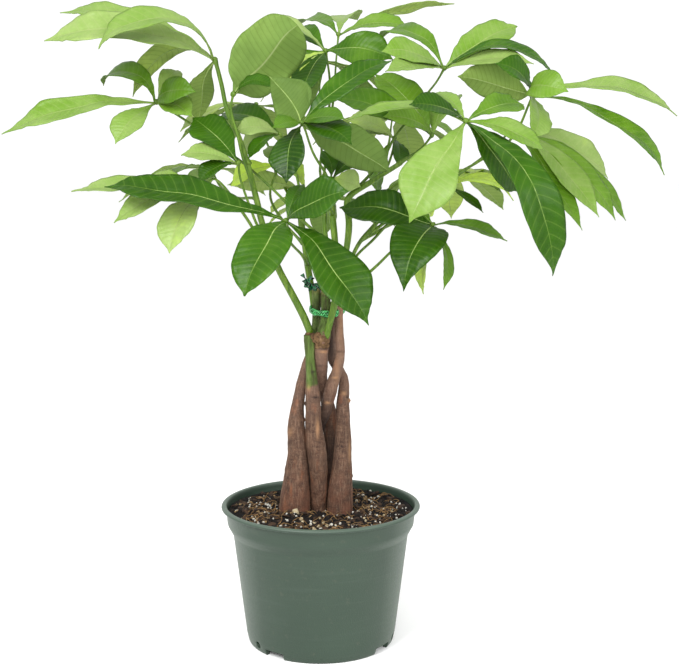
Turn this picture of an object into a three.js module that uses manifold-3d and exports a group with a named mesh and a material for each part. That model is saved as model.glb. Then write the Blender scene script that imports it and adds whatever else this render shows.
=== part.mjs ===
// A money tree: five braided stems in a plastic nursery pot, with palmate leaves on long stalks.
// Millimetres, +Z up, the front towards -Y. The tree is laid out round the pot's axis, and the group
// is then moved so that the origin is on the floor under the middle of the whole tree.

import * as THREE from "three";
import { mergeVertices } from "three/addons/utils/BufferGeometryUtils.js";
import Module from "manifold-3d";

const wasm = await Module();
wasm.setup();

// Pot
const POT_HEIGHT = 119.5;
const LIP_RADIUS = 84.7;
const BAND_RADIUS = 81.1;
const BODY_TOP_RADIUS = 75;
const BODY_FOOT_RADIUS = 64;
const FOOT_RADIUS = 61;
const WALL = 1.2;
const POT_SEGMENTS = 32;
const NOTCH = { width: 19, height: 6, angles: [-37.5, 56, 147, -129] };
const DRAIN = { radius: 3, height: 6.6, angles: [-55, 74, 164, -146] };

// Soil
const SOIL_LEVEL = 111.5;
const SOIL_RELIEF = 1.5;
const SOIL_MOUND = { rise: 2.5, reach: 38, sides: 2.5 };
const CLEARANCE = 0.3;

// Plant
const TRUNK_SIDES = 8;
const BLADE_THICKNESS = 0.7;
const RIB_DEPTH = 0.5;
const BLADE_FOLD = 0.16;
const HUB_RADIUS = 4;
const STALK_SIDES = 5;

// The plant is laid out by its front view: a point is [across, up, toward], with across and up in
// millimetres on a plane square to the line of sight, and toward its true distance in front of the
// pot's axis. The eye is as far from the pot as a person who stands over a low table.
const EYE_DISTANCE = 1057;
const EYE_PITCH = THREE.MathUtils.degToRad(7.6);
const VIEW_CENTRE = { across: 16, up: 278, height: 266 };
const FORWARD = new THREE.Vector3(0, Math.cos(EYE_PITCH), -Math.sin(EYE_PITCH));
const VIEW_UP = new THREE.Vector3(0, Math.sin(EYE_PITCH), Math.cos(EYE_PITCH));
const MIDDLE = new THREE.Vector3(VIEW_CENTRE.across, 0, VIEW_CENTRE.height);
const EYE = MIDDLE.clone().addScaledVector(FORWARD, -EYE_DISTANCE);

function seen([across, up, toward]) {
  const onPlane = MIDDLE.clone()
    .add(new THREE.Vector3(across - VIEW_CENTRE.across, 0, 0))
    .addScaledVector(VIEW_UP, up - VIEW_CENTRE.up);
  const ray = onPlane.sub(EYE);
  return EYE.clone().addScaledVector(ray, (-toward - EYE.y) / ray.y);
}

// Stems, from the soil up: [across, up, toward, radius].
const TRUNKS = {
  trunk_left: [
    [-24, 84, 4, 9],
    [-22, 122, 9, 13.5],
    [-21.2, 140, 9, 12.4],
    [-20.2, 156, 9, 10.8],
    [-19.4, 174, 9, 8.6],
    [-20.6, 193, 8, 7],
    [-19.5, 210, 7, 5.1],
    [-17, 225, 5, 4.4],
    [-13, 246, -3, 4.4],
    [-6.4, 266, -8, 4],
    [-3.6, 284, -2, 3.7],
    [-3.4, 317, 3, 3.5],
  ],
  trunk_centre_left: [
    [-1, 84, 2, 5],
    [-1.3, 122, 4, 6.2],
    [-1.4, 143, 7, 6.8],
    [-1.8, 163, 10, 7.8],
    [-3.6, 182, 11.5, 8.1],
    [-6, 201, 11.5, 7.2],
    [-6.4, 219, 11, 6.2],
    [-7.1, 232, 10, 5.6],
    [-8.8, 256, 9, 3.9],
    [-9.5, 276, 9, 4.6],
  ],
  trunk_centre: [
    [8, 84, -14, 5],
    [8, 132, -13, 5.8],
    [7.5, 180, -13, 5.8],
    [6.5, 205, -12, 5.4],
    [3.5, 222, -9, 5.2],
    [1, 238, -4, 5.2],
    [1.5, 252, 4, 5.2],
    [1, 267, 8, 6],
    [3, 277, 8, 6],
    [4.3, 292, 6, 4.1],
    [4.3, 315, 5, 3.8],
  ],
  trunk_back: [
    [-5, 84, -12, 6],
    [-5, 130, -11, 6.4],
    [-4, 180, -9, 6],
    [-1, 200, -5, 5.4],
    [3.5, 210, 3, 4.8],
    [8.5, 229, 6.5, 5],
    [11, 238, 7.5, 4.8],
    [15, 250, 9, 4.4],
    [16.8, 260, 9, 4],
    [15.5, 280, 7, 3.9],
    [15.4, 304, 6, 3.4],
  ],
  trunk_right: [
    [18, 84, 7, 9],
    [16.4, 126, 7, 11],
    [16.8, 146, 7, 10.2],
    [18, 165, 6, 8.7],
    [18.9, 183, 4, 7.1],
    [18.9, 201, 2, 6.1],
    [18.9, 219, -1, 5.3],
    [19.5, 238, -5, 4.2],
    [17, 252, -8, 3.9],
    [11, 263, -11, 3.6],
    [8.5, 275, -11, 3.4],
    [11, 291, -9, 3.2],
  ],
};

// Leafy shoots. A stem is [across, up, toward, radius] from its trunk up. Each leaf has a hub and
// the points of its stalk down to the stem. A leaflet is [across, up, toward, width, arch, face] of
// its tip: arch is how far the blade's rib bows up off a straight line, and face is the angle by
// which its upper side turns to the viewer, from 0 edge-on to 90, or below 0 with the underside seen.
const SHOOTS = {
  shoot_left: {
    stem: [
      [-9.5, 277, 9, 3.6],
      [-20, 302, 11, 3.4],
      [-34, 328, 12, 3],
      [-49, 367, 10, 2.6],
      [-55, 390, 9, 2.4],
      [-62, 420, 6, 2],
    ],
    leaves: [
      {
        hub: [-90, 507, 0],
        stalk: [[-84, 487, 0], [-77, 460, 2], [-68, 439, 4], [-61, 417, 6]],
        leaflets: [
          [-221, 548, -30, 34, 20, 32],
          [-232, 524, 5, 38, 20, 40],
          [-188, 514, 35, 32, 34, 26],
          [-158, 476, -40, 28, 27, -37],
          [-104, 454, -45, 28, 6, -50],
        ],
      },
      {
        hub: [-73, 477, 14],
        stalk: [[-75, 466, 14], [-73, 454, 13], [-68, 433, 12], [-57, 398, 9]],
        leaflets: [
          [-20, 538, -8, 60, 9, -74],
          [-38, 485, 24, 24, 8, 28],
        ],
      },
      {
        hub: [-68, 420, 26],
        stalk: [[-66, 402, 24], [-58, 375, 20], [-44, 350, 12]],
        leaflets: [
          [-108, 458, 2, 34, 6, 62],
          [-117, 426, 30, 22, 6, 34],
          [-103, 405, 44, 20, 7, 32],
        ],
      },
      {
        hub: [-101, 394, 46],
        stalk: [[-91, 408, 44], [-79, 397, 38], [-60, 368, 24], [-38, 335, 12]],
        leaflets: [
          [-150, 406, 22, 25, 7, 32],
          [-209, 396, 46, 30, 8, 26],
          [-171, 371, 66, 26, 11, 34],
          [-126, 345, 92, 40, 9, 56],
        ],
      },
    ],
  },
  shoot_centre_left: {
    stem: [
      [-6, 300, -6, 3],
      [-9, 322, -8, 3],
      [-12, 347, -8, 3],
      [-15, 372, -8, 2.8],
      [-16, 396, -9, 2.4],
    ],
    leaves: [
      {
        hub: [-32, 446, -8],
        stalk: [[-26, 424, -9], [-16, 394, -9]],
        leaflets: [
          [-65, 431, -34, 26, 5, 52],
          [-72, 447, -6, 22, 5, 44],
          [-84, 463, -40, 28, 6, 46],
          [-61, 422, 12, 17, 5, 34],
        ],
      },
      {
        hub: [-36, 420, -34],
        stalk: [[-42, 395, -32], [-30, 372, -20], [-14, 352, -9]],
        leaflets: [
          [-76, 402, -50, 24, 5, 38],
          [-30, 436, -75, 26, 6, 40],
        ],
      },
      {
        hub: [-13, 398, -36],
        stalk: [[-13, 384, -26], [-14, 366, -10]],
        leaflets: [
          [-78, 404, -62, 27, 5, -46],
          [-34, 424, -90, 24, 6, 40],
        ],
      },
      {
        hub: [-29, 373, 92],
        stalk: [[-28, 371, 72], [-24, 356, 36], [-10.5, 335, -8]],
        leaflets: [
          [-180, 401, 70, 37, 14, 42],
          [-63, 308, 142, 44, 12, 64],
          [42, 284, 120, 44, 12, 58],
          [25, 396, 132, 38, 9, 54],
          [-12, 401, 70, 18, 4, 45],
        ],
      },
    ],
  },
  shoot_top: {
    stem: [
      [4.7, 310, -0.8, 2.6],
      [4, 340, -14, 2.2],
      [2, 372, -18, 2],
      [4, 410, -26, 1.9],
    ],
    leaves: [
      {
        hub: [4, 515, -62],
        stalk: [[6, 480, -52], [5, 440, -36], [4, 405, -25]],
        leaflets: [
          [60, 508, -24, 34, 8, 50],
          [-49, 491, -84, 26, 9, 36],
          [-21, 532, -96, 24, 5, 50],
          [-36, 480, -50, 24, 9, 40],
          [-15, 473, -22, 29, 7, 50],
          [-47, 541, -66, 22, 7, 20],
        ],
      },
      {
        hub: [15, 528, -96],
        stalk: [[12, 490, -84], [6, 440, -52], [3, 392, -22]],
        leaflets: [
          [113, 555, -116, 21, 7, -22],
          [75, 533, -74, 26, 10, 32],
          [30, 541, -180, 28, 10, 24],
          [-20, 536, -170, 28, 10, 24],
        ],
      },
    ],
  },
  shoot_centre: {
    stem: [
      [5, 273, 13, 3.2],
      [8.8, 288, 17, 3.1],
      [13, 305, 17, 3],
      [12.5, 338, 6, 3.1],
      [11, 372, 0, 3.1],
      [11, 396, 0, 2.6],
    ],
    leaves: [
      {
        hub: [-17, 454, 72],
        stalk: [[-4, 424, 52], [5, 405, 34], [11, 374, 0]],
        leaflets: [
          [-42, 494, 54, 42, 7, -64],
          [-29, 404, 106, 29, 7, 55],
          [57, 412, 52, 38, 7, -58],
          [25, 433, 108, 27, 7, 46],
          [60, 508, 48, 29, 7, 42],
          [19, 456, 102, 21, 6, 40],
          [-39, 451, 100, 17, 4, 40],
        ],
      },
      {
        hub: [11, 405, -6],
        stalk: [[11, 392, -1]],
        leaflets: [
          [35, 402, 12, 20, 5, 58],
          [0, 430, -4, 20, 5, 44],
          [34, 424, -24, 20, 5, 44],
        ],
      },
      {
        hub: [-138, 471, -26],
        stalk: [[-105, 450, -24], [-68, 422, -12], [-44, 401, 4], [-22, 382, 6], [12.2, 346, 4]],
        leaflets: [
          [-267, 444, -10, 31, 11, 34],
          [-173, 435, 12, 27, 6, 46],
          [-182, 486, -40, 27, 21, 34],
          [-118, 498, -50, 20, 5, 58],
          [-104, 480, 14, 25, 8, 50],
          [-108, 459, 8, 24, 6, 46],
        ],
      },
    ],
  },
  shoot_right: {
    stem: [
      [15.2, 305, 6, 3.6],
      [17, 322, 5, 3.4],
      [21, 341, 4, 3.4],
      [25, 368, 2, 3.2],
      [26, 392, 2, 3],
      [47, 409, 4, 2.6],
      [68, 422, 6, 2.4],
    ],
    leaves: [
      {
        hub: [94, 445, 14],
        stalk: [[84, 433, 9], [66, 421, 6]],
        leaflets: [
          [45, 463, 2, 21, 6, 28],
          [54, 460, 34, 26, 6, 42],
          [45, 495, -18, 34, 7, 50],
          [12, 477, 12, 31, 7, 42],
          [116, 476, -40, 28, 7, 44],
        ],
      },
      {
        hub: [105, 501, -14],
        stalk: [[88, 475, -12], [69, 450, -8], [53, 428, -4], [27, 394, 2]],
        leaflets: [
          [166, 534, -36, 34, 7, 46],
          [50, 520, -60, 27, 22, 30],
          [52, 515, 14, 27, 7, 36],
          [53, 498, 34, 21, 6, 32],
          [178, 506, 18, 23, 6, 28],
          [197, 494, -4, 22, 22, 20],
        ],
      },
      {
        hub: [61, 442, -30],
        stalk: [[60, 430, -20], [52, 412, 4]],
        leaflets: [
          [32, 446, -42, 19, 5, 36],
          [20, 457, -30, 25, 6, 40],
          [64, 418, -14, 19, 5, 42],
          [47, 396, -52, 24, 6, 42],
        ],
      },
      {
        hub: [123, 455, 84],
        stalk: [[112, 436, 74], [86, 416, 50], [52, 394, 22], [26, 374, 3]],
        leaflets: [
          [75, 371, 116, 43, 9, 70],
          [194, 326, 116, 43, 32, 54],
          [187, 430, 98, 27, 7, 26],
          [168, 396, 62, 35, 7, 60],
          [171, 468, 62, 29, 7, 40],
          [93, 480, 62, 21, 5, 28],
          [22, 458, 78, 26, 11, 17],
          [75, 470, 98, 24, 6, 34],
        ],
      },
    ],
  },
  shoot_right_low: {
    stem: [
      [11, 290, -9, 2.6],
      [16.5, 312, -8, 2.6],
      [24, 334, -9, 2.4],
      [34, 356, -12, 2.2],
      [50, 374, -14, 2],
    ],
    leaves: [
      {
        hub: [179, 475, 24],
        stalk: [[160, 440, 14], [132, 419, 4], [112, 410, -4], [84, 396, -10], [48, 372, -14]],
        leaflets: [
          [115, 493, -8, 35, 6, -60],
          [145, 503, 46, 25, 10, 32],
          [210, 480, 66, 29, 15, 52],
          [299, 460, 14, 27, 19, 22],
          [289, 411, 38, 25, 18, 22],
          [179, 442, 62, 27, 6, 40],
        ],
      },
      {
        hub: [160, 450, -34],
        stalk: [[146, 432, -34], [117, 410, -33], [80, 386, -24], [40, 362, -13]],
        leaflets: [
          [249, 373, -16, 32, 20, 38],
          [257, 372, -46, 29, 20, 32],
          [235, 376, 6, 30, 11, 40],
          [219, 364, 22, 28, 9, 38],
          [241, 408, -66, 33, 9, 44],
        ],
      },
      {
        hub: [106, 400, -50],
        stalk: [[78, 384, -42], [48, 360, -26], [27, 338, -10]],
        leaflets: [
          [163, 390, -44, 22, 14, 20],
          [137, 381, -30, 19, 5, 28],
          [92, 374, -60, 23, 6, 34],
          [136, 413, -80, 20, 5, 24],
        ],
      },
      {
        hub: [95, 369, 56],
        stalk: [[76, 356, 42], [54, 340, 28], [34, 322, 12], [15.4, 307, -8]],
        leaflets: [
          [69, 313, 96, 46, 14, 68],
          [157, 355, 62, 27, 6, 26],
          [16, 382, 36, 36, 7, 48],
          [58, 391, 14, 27, 6, 44],
          [105, 316, 86, 22, 7, 30],
          [87, 310, 62, 20, 5, 30],
        ],
      },
    ],
  },
};

// Leaves behind the stems, where the front view is closed by the others. Each stands on a stalk from
// the stem of its shoot: x, y, z of the hub, heading from +X in degrees, and the longest leaflet.
const REAR_LEAVES = [
  { shoot: "shoot_left", hub: [-100, 84, 404], heading: 145, reach: 96 },
  { shoot: "shoot_centre_left", hub: [-62, 130, 462], heading: 118, reach: 100 },
  { shoot: "shoot_top", hub: [-2, 128, 502], heading: 96, reach: 96 },
  { shoot: "shoot_centre", hub: [6, 130, 376], heading: 95, reach: 88 },
  { shoot: "shoot_right", hub: [66, 126, 452], heading: 66, reach: 100 },
  { shoot: "shoot_right_low", hub: [112, 92, 400], heading: 40, reach: 92 },
];
const REAR_LEAFLETS = 5;
const REAR_FAN = 230;
const REAR_DROOP = 24;
const REAR_SEED = 11;

// Ties
const BAND_TIE = {
  centre: [5.7, 294, -2.2],
  halfWidth: 13.9,
  halfDepth: 14.4,
  thickness: 0.9,
  height: 6,
  slope: 20,
};
const TWIST_TIE = {
  ring: { centre: [-4.2, 313, 2.4], halfWidth: 5, halfDepth: 5, thickness: 0.8, height: 3, slope: 0 },
  ends: [
    [[-8.6, 313, 4], [-11, 320, 5], [-15.5, 326, 7]],
    [[-8.4, 314, 4], [-9.5, 322, 7], [-8, 328, 9]],
  ],
  wire: 0.7,
};

const COLOURS = {
  pot: 0x5f7264,
  soil: 0x2e241d,
  bark: 0x785a4b,
  leaf: 0x6fa53c,
  tie: 0x2fae4a,
  foil: 0x1f3b2a,
};

// Solids

function solidOf(geometry) {
  const bare = geometry.clone();
  bare.deleteAttribute("normal");
  bare.deleteAttribute("uv");
  const merged = mergeVertices(bare, 1e-3);
  const index = merged.index.array;
  const whole = [];
  for (let i = 0; i < index.length; i += 3) {
    const [a, b, c] = [index[i], index[i + 1], index[i + 2]];
    if (a !== b && b !== c && c !== a) whole.push(a, b, c);
  }
  return new wasm.Manifold(
    new wasm.Mesh({
      numProp: 3,
      vertProperties: merged.attributes.position.array,
      triVerts: new Uint32Array(whole),
    }),
  );
}

function fused(solids) {
  return solids.reduce((sum, solid) => sum.add(solid));
}

function meshOf(name, solid, colour, roughness) {
  const { vertProperties, triVerts } = solid.getMesh();
  const geometry = new THREE.BufferGeometry();
  geometry.setAttribute("position", new THREE.BufferAttribute(vertProperties, 3));
  geometry.setIndex(new THREE.BufferAttribute(triVerts, 1));
  geometry.computeVertexNormals();
  const material = new THREE.MeshStandardMaterial({ color: colour, roughness, metalness: 0 });
  const mesh = new THREE.Mesh(geometry, material);
  mesh.name = name;
  return mesh;
}

// A closed rod through the points, whose radius follows the list of radii.
function rod(points, radii, sides, steps) {
  const curve = new THREE.CatmullRomCurve3(points);
  const { normals, binormals } = curve.computeFrenetFrames(steps, false);
  const geometry = new THREE.CylinderGeometry(1, 1, 1, sides, steps);
  const position = geometry.attributes.position;
  for (let i = 0; i < position.count; i += 1) {
    const along = 0.5 + position.getY(i);
    const step = Math.round(along * steps);
    const knot = curve.getUtoTmapping(along) * (radii.length - 1);
    const low = Math.min(Math.floor(knot), radii.length - 2);
    const radius = THREE.MathUtils.lerp(radii[low], radii[low + 1], knot - low);
    const vertex = curve
      .getPointAt(along)
      .addScaledVector(normals[step], radius * position.getX(i))
      .addScaledVector(binormals[step], radius * position.getZ(i));
    position.setXYZ(i, vertex.x, vertex.y, vertex.z);
  }
  const solid = solidOf(geometry);
  return solid.volume() < 0 ? solidOf(turnedInsideOut(geometry)) : solid;
}

function turnedInsideOut(geometry) {
  const index = geometry.index;
  for (let i = 0; i < index.count; i += 3) {
    const swapped = index.getX(i + 1);
    index.setX(i + 1, index.getX(i + 2));
    index.setX(i + 2, swapped);
  }
  return geometry;
}

// Pot

function turned(profile, segments) {
  const points = profile.map(([radius, height]) => new THREE.Vector2(radius, height));
  return new THREE.LatheGeometry(points, segments).rotateX(Math.PI / 2);
}

function around(angleFromFront, radius, height) {
  const angle = THREE.MathUtils.degToRad(angleFromFront);
  return new THREE.Vector3(radius * Math.sin(angle), -radius * Math.cos(angle), height);
}

function potSolid() {
  const floor = NOTCH.height;
  const shoulder = POT_HEIGHT - 24;
  const band = POT_HEIGHT - 18;
  const lip = POT_HEIGHT - 2.6;
  const shell = solidOf(
    turned(
      [
        [0, floor],
        [FOOT_RADIUS - 4, floor],
        [FOOT_RADIUS - 3, 0],
        [FOOT_RADIUS, 0],
        [FOOT_RADIUS + 1.7, 3],
        [BODY_FOOT_RADIUS, 8],
        [BODY_TOP_RADIUS, shoulder],
        [BAND_RADIUS - 1.5, band],
        [BAND_RADIUS, lip - 1],
        [LIP_RADIUS - 0.3, lip - 0.7],
        [LIP_RADIUS, lip + 1],
        [LIP_RADIUS - 1, POT_HEIGHT],
        [BAND_RADIUS, POT_HEIGHT],
        [BAND_RADIUS - WALL, lip],
        [BAND_RADIUS - 1.5 - WALL, band + 0.6],
        [BODY_TOP_RADIUS - WALL, shoulder + 0.6],
        [BODY_FOOT_RADIUS - WALL, 9],
        [FOOT_RADIUS, floor + WALL],
        [0, floor + WALL],
      ],
      POT_SEGMENTS,
    ),
  );
  const notches = NOTCH.angles.map((angle) => {
    const box = new THREE.BoxGeometry(NOTCH.width, 24, 2 * NOTCH.height - 0.4);
    box.rotateZ(THREE.MathUtils.degToRad(angle));
    const at = around(angle, FOOT_RADIUS + 2, 0);
    return solidOf(box.translate(at.x, at.y, at.z));
  });
  const drains = DRAIN.angles.map((angle) => {
    const bore = new THREE.CylinderGeometry(DRAIN.radius, DRAIN.radius, 12, 10);
    bore.rotateZ(THREE.MathUtils.degToRad(angle));
    const at = around(angle, BODY_FOOT_RADIUS, DRAIN.height);
    return solidOf(bore.translate(at.x, at.y, at.z));
  });
  return [...notches, ...drains].reduce((pot, cut) => pot.subtract(cut), shell);
}

// Soil, with stems' holes

function soilBump(x, y) {
  const coarse = Math.sin(x * 0.13 + 1) * Math.cos(y * 0.15);
  const fine = Math.sin(x * 0.41 + y * 0.33) * Math.cos(y * 0.47 - x * 0.2 + 2);
  const mound = SOIL_MOUND.rise * Math.exp(-((x * x + y * y) / SOIL_MOUND.reach ** 2));
  const sides = SOIL_MOUND.sides * (x / BAND_RADIUS) ** 2;
  return SOIL_RELIEF * (0.6 * coarse + 0.4 * fine) + mound + sides;
}

function soilSolid() {
  const shoulder = POT_HEIGHT - 24;
  const band = POT_HEIGHT - 18;
  const clear = WALL + CLEARANCE + 0.15;
  const topRadius = BAND_RADIUS - 0.9 - clear;
  const rings = [1, 0.82, 0.6, 0.34, 0];
  const geometry = turned(
    [
      [0, NOTCH.height + clear],
      [FOOT_RADIUS - CLEARANCE, NOTCH.height + clear],
      [BODY_FOOT_RADIUS - clear, 9.6],
      [BODY_TOP_RADIUS - clear, shoulder + 0.8],
      [BAND_RADIUS - 1.5 - clear, band + 0.8],
      ...rings.map((share) => [topRadius * share, SOIL_LEVEL]),
    ],
    POT_SEGMENTS,
  );
  const position = geometry.attributes.position;
  for (let i = 0; i < position.count; i += 1) {
    const isTop = Math.abs(position.getZ(i) - SOIL_LEVEL) < 0.01;
    if (isTop) {
      position.setZ(i, SOIL_LEVEL + soilBump(position.getX(i), position.getY(i)));
    }
  }
  return solidOf(geometry);
}

// Braided stems

function trunkSolid(path, extra) {
  const points = path.map(seen);
  const radii = path.map(([, , , radius]) => radius + extra);
  return rod(points, radii, TRUNK_SIDES, path.length + 1);
}

// Leaves

// Half-widths along a blade from the hub to the tip, as shares of its length and widest half.
const OUTLINE = [
  [0, 0.06],
  [0.18, 0.36],
  [0.38, 0.88],
  [0.58, 1],
  [0.8, 0.64],
  [1, 0.04],
];
const SHORT_OUTLINE = [
  [0, 0.08],
  [0.26, 0.62],
  [0.54, 1],
  [0.8, 0.66],
  [1, 0.05],
];
const SHORT_BLADE = 62;
const ROOT_OFFSET = 1.5;

// The blade's rib is an arc from the hub to the tip that bows along the blade's normal. A short blade
// is flat across, and a long one is folded along its rib.
function bladeSolid(hub, tip, normal, width, arch, isFolded = hub.distanceTo(tip) > SHORT_BLADE) {
  const root = hub.clone().lerp(tip, ROOT_OFFSET / hub.distanceTo(tip));
  const chord = tip.clone().sub(root);
  const span = chord.length();
  const ahead = chord.clone().normalize();
  const side = new THREE.Vector3().crossVectors(ahead, normal);
  const turn = 4 * Math.atan((2 * arch) / span);
  const radius = span / 2 / Math.sin(turn / 2);
  const outline = isFolded ? OUTLINE : SHORT_OUTLINE;
  const columns = isFolded ? [-1, 0, 1] : [-1, 1];
  const vertices = [];
  for (const layer of [0, 1]) {
    for (const [along, share] of outline) {
      const angle = (along - 0.5) * turn;
      const rib = root
        .clone()
        .addScaledVector(ahead, span / 2 + radius * Math.sin(angle))
        .addScaledVector(normal, radius * (Math.cos(angle) - Math.cos(turn / 2)));
      const out = normal
        .clone()
        .multiplyScalar(Math.cos(angle))
        .addScaledVector(ahead, Math.sin(angle));
      for (const edge of columns) {
        const half = (width * share) / 2;
        const lift = edge === 0 ? -layer * RIB_DEPTH : isFolded * BLADE_FOLD * half;
        const vertex = rib
          .clone()
          .addScaledVector(side, edge * half)
          .addScaledVector(out, lift - layer * BLADE_THICKNESS);
        vertices.push(vertex.x, vertex.y, vertex.z);
      }
    }
  }
  const geometry = new THREE.BufferGeometry();
  geometry.setAttribute("position", new THREE.Float32BufferAttribute(vertices, 3));
  geometry.setIndex(bladeFaces(outline.length, columns.length));
  return solidOf(geometry);
}

// Both faces of a blade are split the same way, so that they stay apart where it bends.
function bladeFaces(rows, columns) {
  const faces = [];
  const under = rows * columns;
  const quad = (a, b, c, d) => faces.push(a, b, c, a, c, d);
  for (let row = 0; row + 1 < rows; row += 1) {
    const left = columns * row;
    const right = left + columns - 1;
    for (let a = left; a < right; a += 1) {
      const [b, c, d] = [a + 1, a + 1 + columns, a + columns];
      quad(a, b, c, d);
      faces.push(under + a, under + c, under + b, under + a, under + d, under + c);
    }
    quad(left, left + columns, under + left + columns, under + left);
    quad(right, under + right, under + right + columns, right + columns);
  }
  const last = under - columns;
  for (let column = 0; column + 1 < columns; column += 1) {
    const end = last + column;
    quad(column, under + column, under + column + 1, column + 1);
    quad(end, end + 1, under + end + 1, under + end);
  }
  return faces;
}

function hubSolid(centre) {
  const geometry = new THREE.OctahedronGeometry(HUB_RADIUS, 0);
  return solidOf(geometry.translate(centre.x, centre.y, centre.z));
}

function stalkSolid(points, thin, thick) {
  const radii = points.map((_, i) => THREE.MathUtils.lerp(thin, thick, i / (points.length - 1)));
  return rod(points, radii, STALK_SIDES, 1 + points.length);
}

// The normal of a blade between two points whose upper side turns by face degrees to the viewer.
function facing(root, tip, face) {
  const ahead = tip.clone().sub(root).normalize();
  const toEye = EYE.clone().sub(root.clone().add(tip).multiplyScalar(0.5));
  toEye.addScaledVector(ahead, -toEye.dot(ahead)).normalize();
  const upward = new THREE.Vector3().crossVectors(toEye, ahead);
  if (upward.z < 0) upward.negate();
  const angle = THREE.MathUtils.degToRad(face);
  return toEye.multiplyScalar(Math.sin(angle)).addScaledVector(upward, Math.cos(angle));
}

function leafSolids(leaf) {
  const hub = seen(leaf.hub);
  const blades = leaf.leaflets.map(([across, up, toward, width, arch, face]) => {
    const tip = seen([across, up, toward]);
    return bladeSolid(hub, tip, facing(hub, tip, face), width, arch);
  });
  return [stalkSolid([hub, ...leaf.stalk.map(seen)], 1.3, 1.9), hubSolid(hub), ...blades];
}

// A repeatable draw between 0 and 1.
function seededDraw(seed) {
  let state = seed;
  return () => {
    state = (state * 16807) % 2147483647;
    return state / 2147483647;
  };
}

function rearLeafSolids({ shoot, hub, heading, reach }, draw) {
  const centre = new THREE.Vector3(...hub);
  const stem = SHOOTS[shoot].stem;
  const foot = seen(stem[stem.length - 2]);
  const knee = foot.clone().lerp(centre, 0.55);
  knee.z -= 12;
  const blades = [];
  for (let k = 0; k < REAR_LEAFLETS; k += 1) {
    const off = (k + 0.5) / REAR_LEAFLETS - 0.5;
    const azimuth = THREE.MathUtils.degToRad(heading + REAR_FAN * off + 14 * (draw() - 0.5));
    const droop = THREE.MathUtils.degToRad(REAR_DROOP + 26 * (draw() - 0.5));
    const length = reach * (1 - 0.55 * Math.abs(off)) * (0.9 + 0.2 * draw());
    const out = new THREE.Vector3(Math.cos(azimuth), Math.sin(azimuth), -Math.tan(droop));
    const tip = centre.clone().addScaledVector(out.normalize(), length);
    const level = new THREE.Vector3(-Math.sin(azimuth), Math.cos(azimuth), 0.3 * (draw() - 0.5));
    const normal = new THREE.Vector3().crossVectors(out, level).normalize();
    if (normal.z < 0) normal.negate();
    blades.push(bladeSolid(centre, tip, normal, 0.3 * length, 0.1 * length, false));
  }
  return [stalkSolid([centre, knee, foot], 1.3, 1.9), hubSolid(centre), ...blades];
}

function shootSolid(name, draw) {
  const { stem, leaves } = SHOOTS[name];
  const axis = rod(stem.map(seen), stem.map(([, , , radius]) => radius), 6, 2 * stem.length);
  const rear = REAR_LEAVES.filter(({ shoot }) => shoot === name);
  return fused([
    axis,
    ...leaves.flatMap(leafSolids),
    ...rear.flatMap((leaf) => rearLeafSolids(leaf, draw)),
  ]);
}

// Ties round the heads of the stems

// A slope in degrees sets the front of the ring lower than its back.
function ringSolid({ centre, halfWidth, halfDepth, thickness, height, slope }) {
  const geometry = new THREE.TorusGeometry(halfWidth, thickness, 4, 16);
  geometry.scale(1, halfDepth / halfWidth, height / 2 / thickness);
  geometry.rotateX(THREE.MathUtils.degToRad(slope));
  const at = seen(centre);
  return solidOf(geometry.translate(at.x, at.y, at.z));
}

function twistTieSolid() {
  const ends = TWIST_TIE.ends.map((points) => {
    return rod(points.map(seen), points.map(() => TWIST_TIE.wire), 4, 3);
  });
  return fused([ringSolid(TWIST_TIE.ring), ...ends]);
}

// Assembly

const trunks = new Map();
for (const [name, path] of Object.entries(TRUNKS)) {
  const earlier = [...trunks.keys()].map((other) => trunkSolid(TRUNKS[other], CLEARANCE));
  trunks.set(name, earlier.reduce((trunk, other) => trunk.subtract(other), trunkSolid(path, 0)));
}
const trunkHoles = fused(Object.values(TRUNKS).map((path) => trunkSolid(path, CLEARANCE)));

const draw = seededDraw(REAR_SEED);
const tree = new THREE.Group();
tree.add(meshOf("pot", potSolid(), COLOURS.pot, 0.55));
tree.add(meshOf("soil", soilSolid().subtract(trunkHoles), COLOURS.soil, 0.95));
for (const [name, solid] of trunks) {
  tree.add(meshOf(name, solid, COLOURS.bark, 0.85));
}
for (const name of Object.keys(SHOOTS)) {
  tree.add(meshOf(name, shootSolid(name, draw).subtract(trunkHoles), COLOURS.leaf, 0.5));
}
tree.add(meshOf("band_tie", ringSolid(BAND_TIE).subtract(trunkHoles), COLOURS.tie, 0.35));
tree.add(meshOf("twist_tie", twistTieSolid().subtract(trunkHoles), COLOURS.foil, 0.4));

const middle = new THREE.Box3().setFromObject(tree).getCenter(new THREE.Vector3());
tree.position.set(-middle.x, -middle.y, 0);

export default tree;
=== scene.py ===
import math
import random

import bmesh
import bpy
from mathutils import Euler, Matrix, Vector


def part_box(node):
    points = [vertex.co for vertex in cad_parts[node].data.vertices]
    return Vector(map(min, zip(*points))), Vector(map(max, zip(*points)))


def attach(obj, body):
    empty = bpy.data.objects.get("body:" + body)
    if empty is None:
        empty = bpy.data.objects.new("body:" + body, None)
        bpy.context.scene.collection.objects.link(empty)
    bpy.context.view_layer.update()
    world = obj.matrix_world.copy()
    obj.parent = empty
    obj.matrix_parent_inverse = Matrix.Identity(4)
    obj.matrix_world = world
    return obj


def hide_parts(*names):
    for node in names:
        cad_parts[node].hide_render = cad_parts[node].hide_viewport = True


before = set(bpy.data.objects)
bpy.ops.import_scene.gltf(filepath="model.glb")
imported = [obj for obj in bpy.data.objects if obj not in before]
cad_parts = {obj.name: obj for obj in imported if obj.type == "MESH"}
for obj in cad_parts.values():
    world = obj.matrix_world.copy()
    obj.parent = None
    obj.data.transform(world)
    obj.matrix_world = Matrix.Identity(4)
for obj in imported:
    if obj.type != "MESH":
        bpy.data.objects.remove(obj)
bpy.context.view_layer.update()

MM = 0.001

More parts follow.
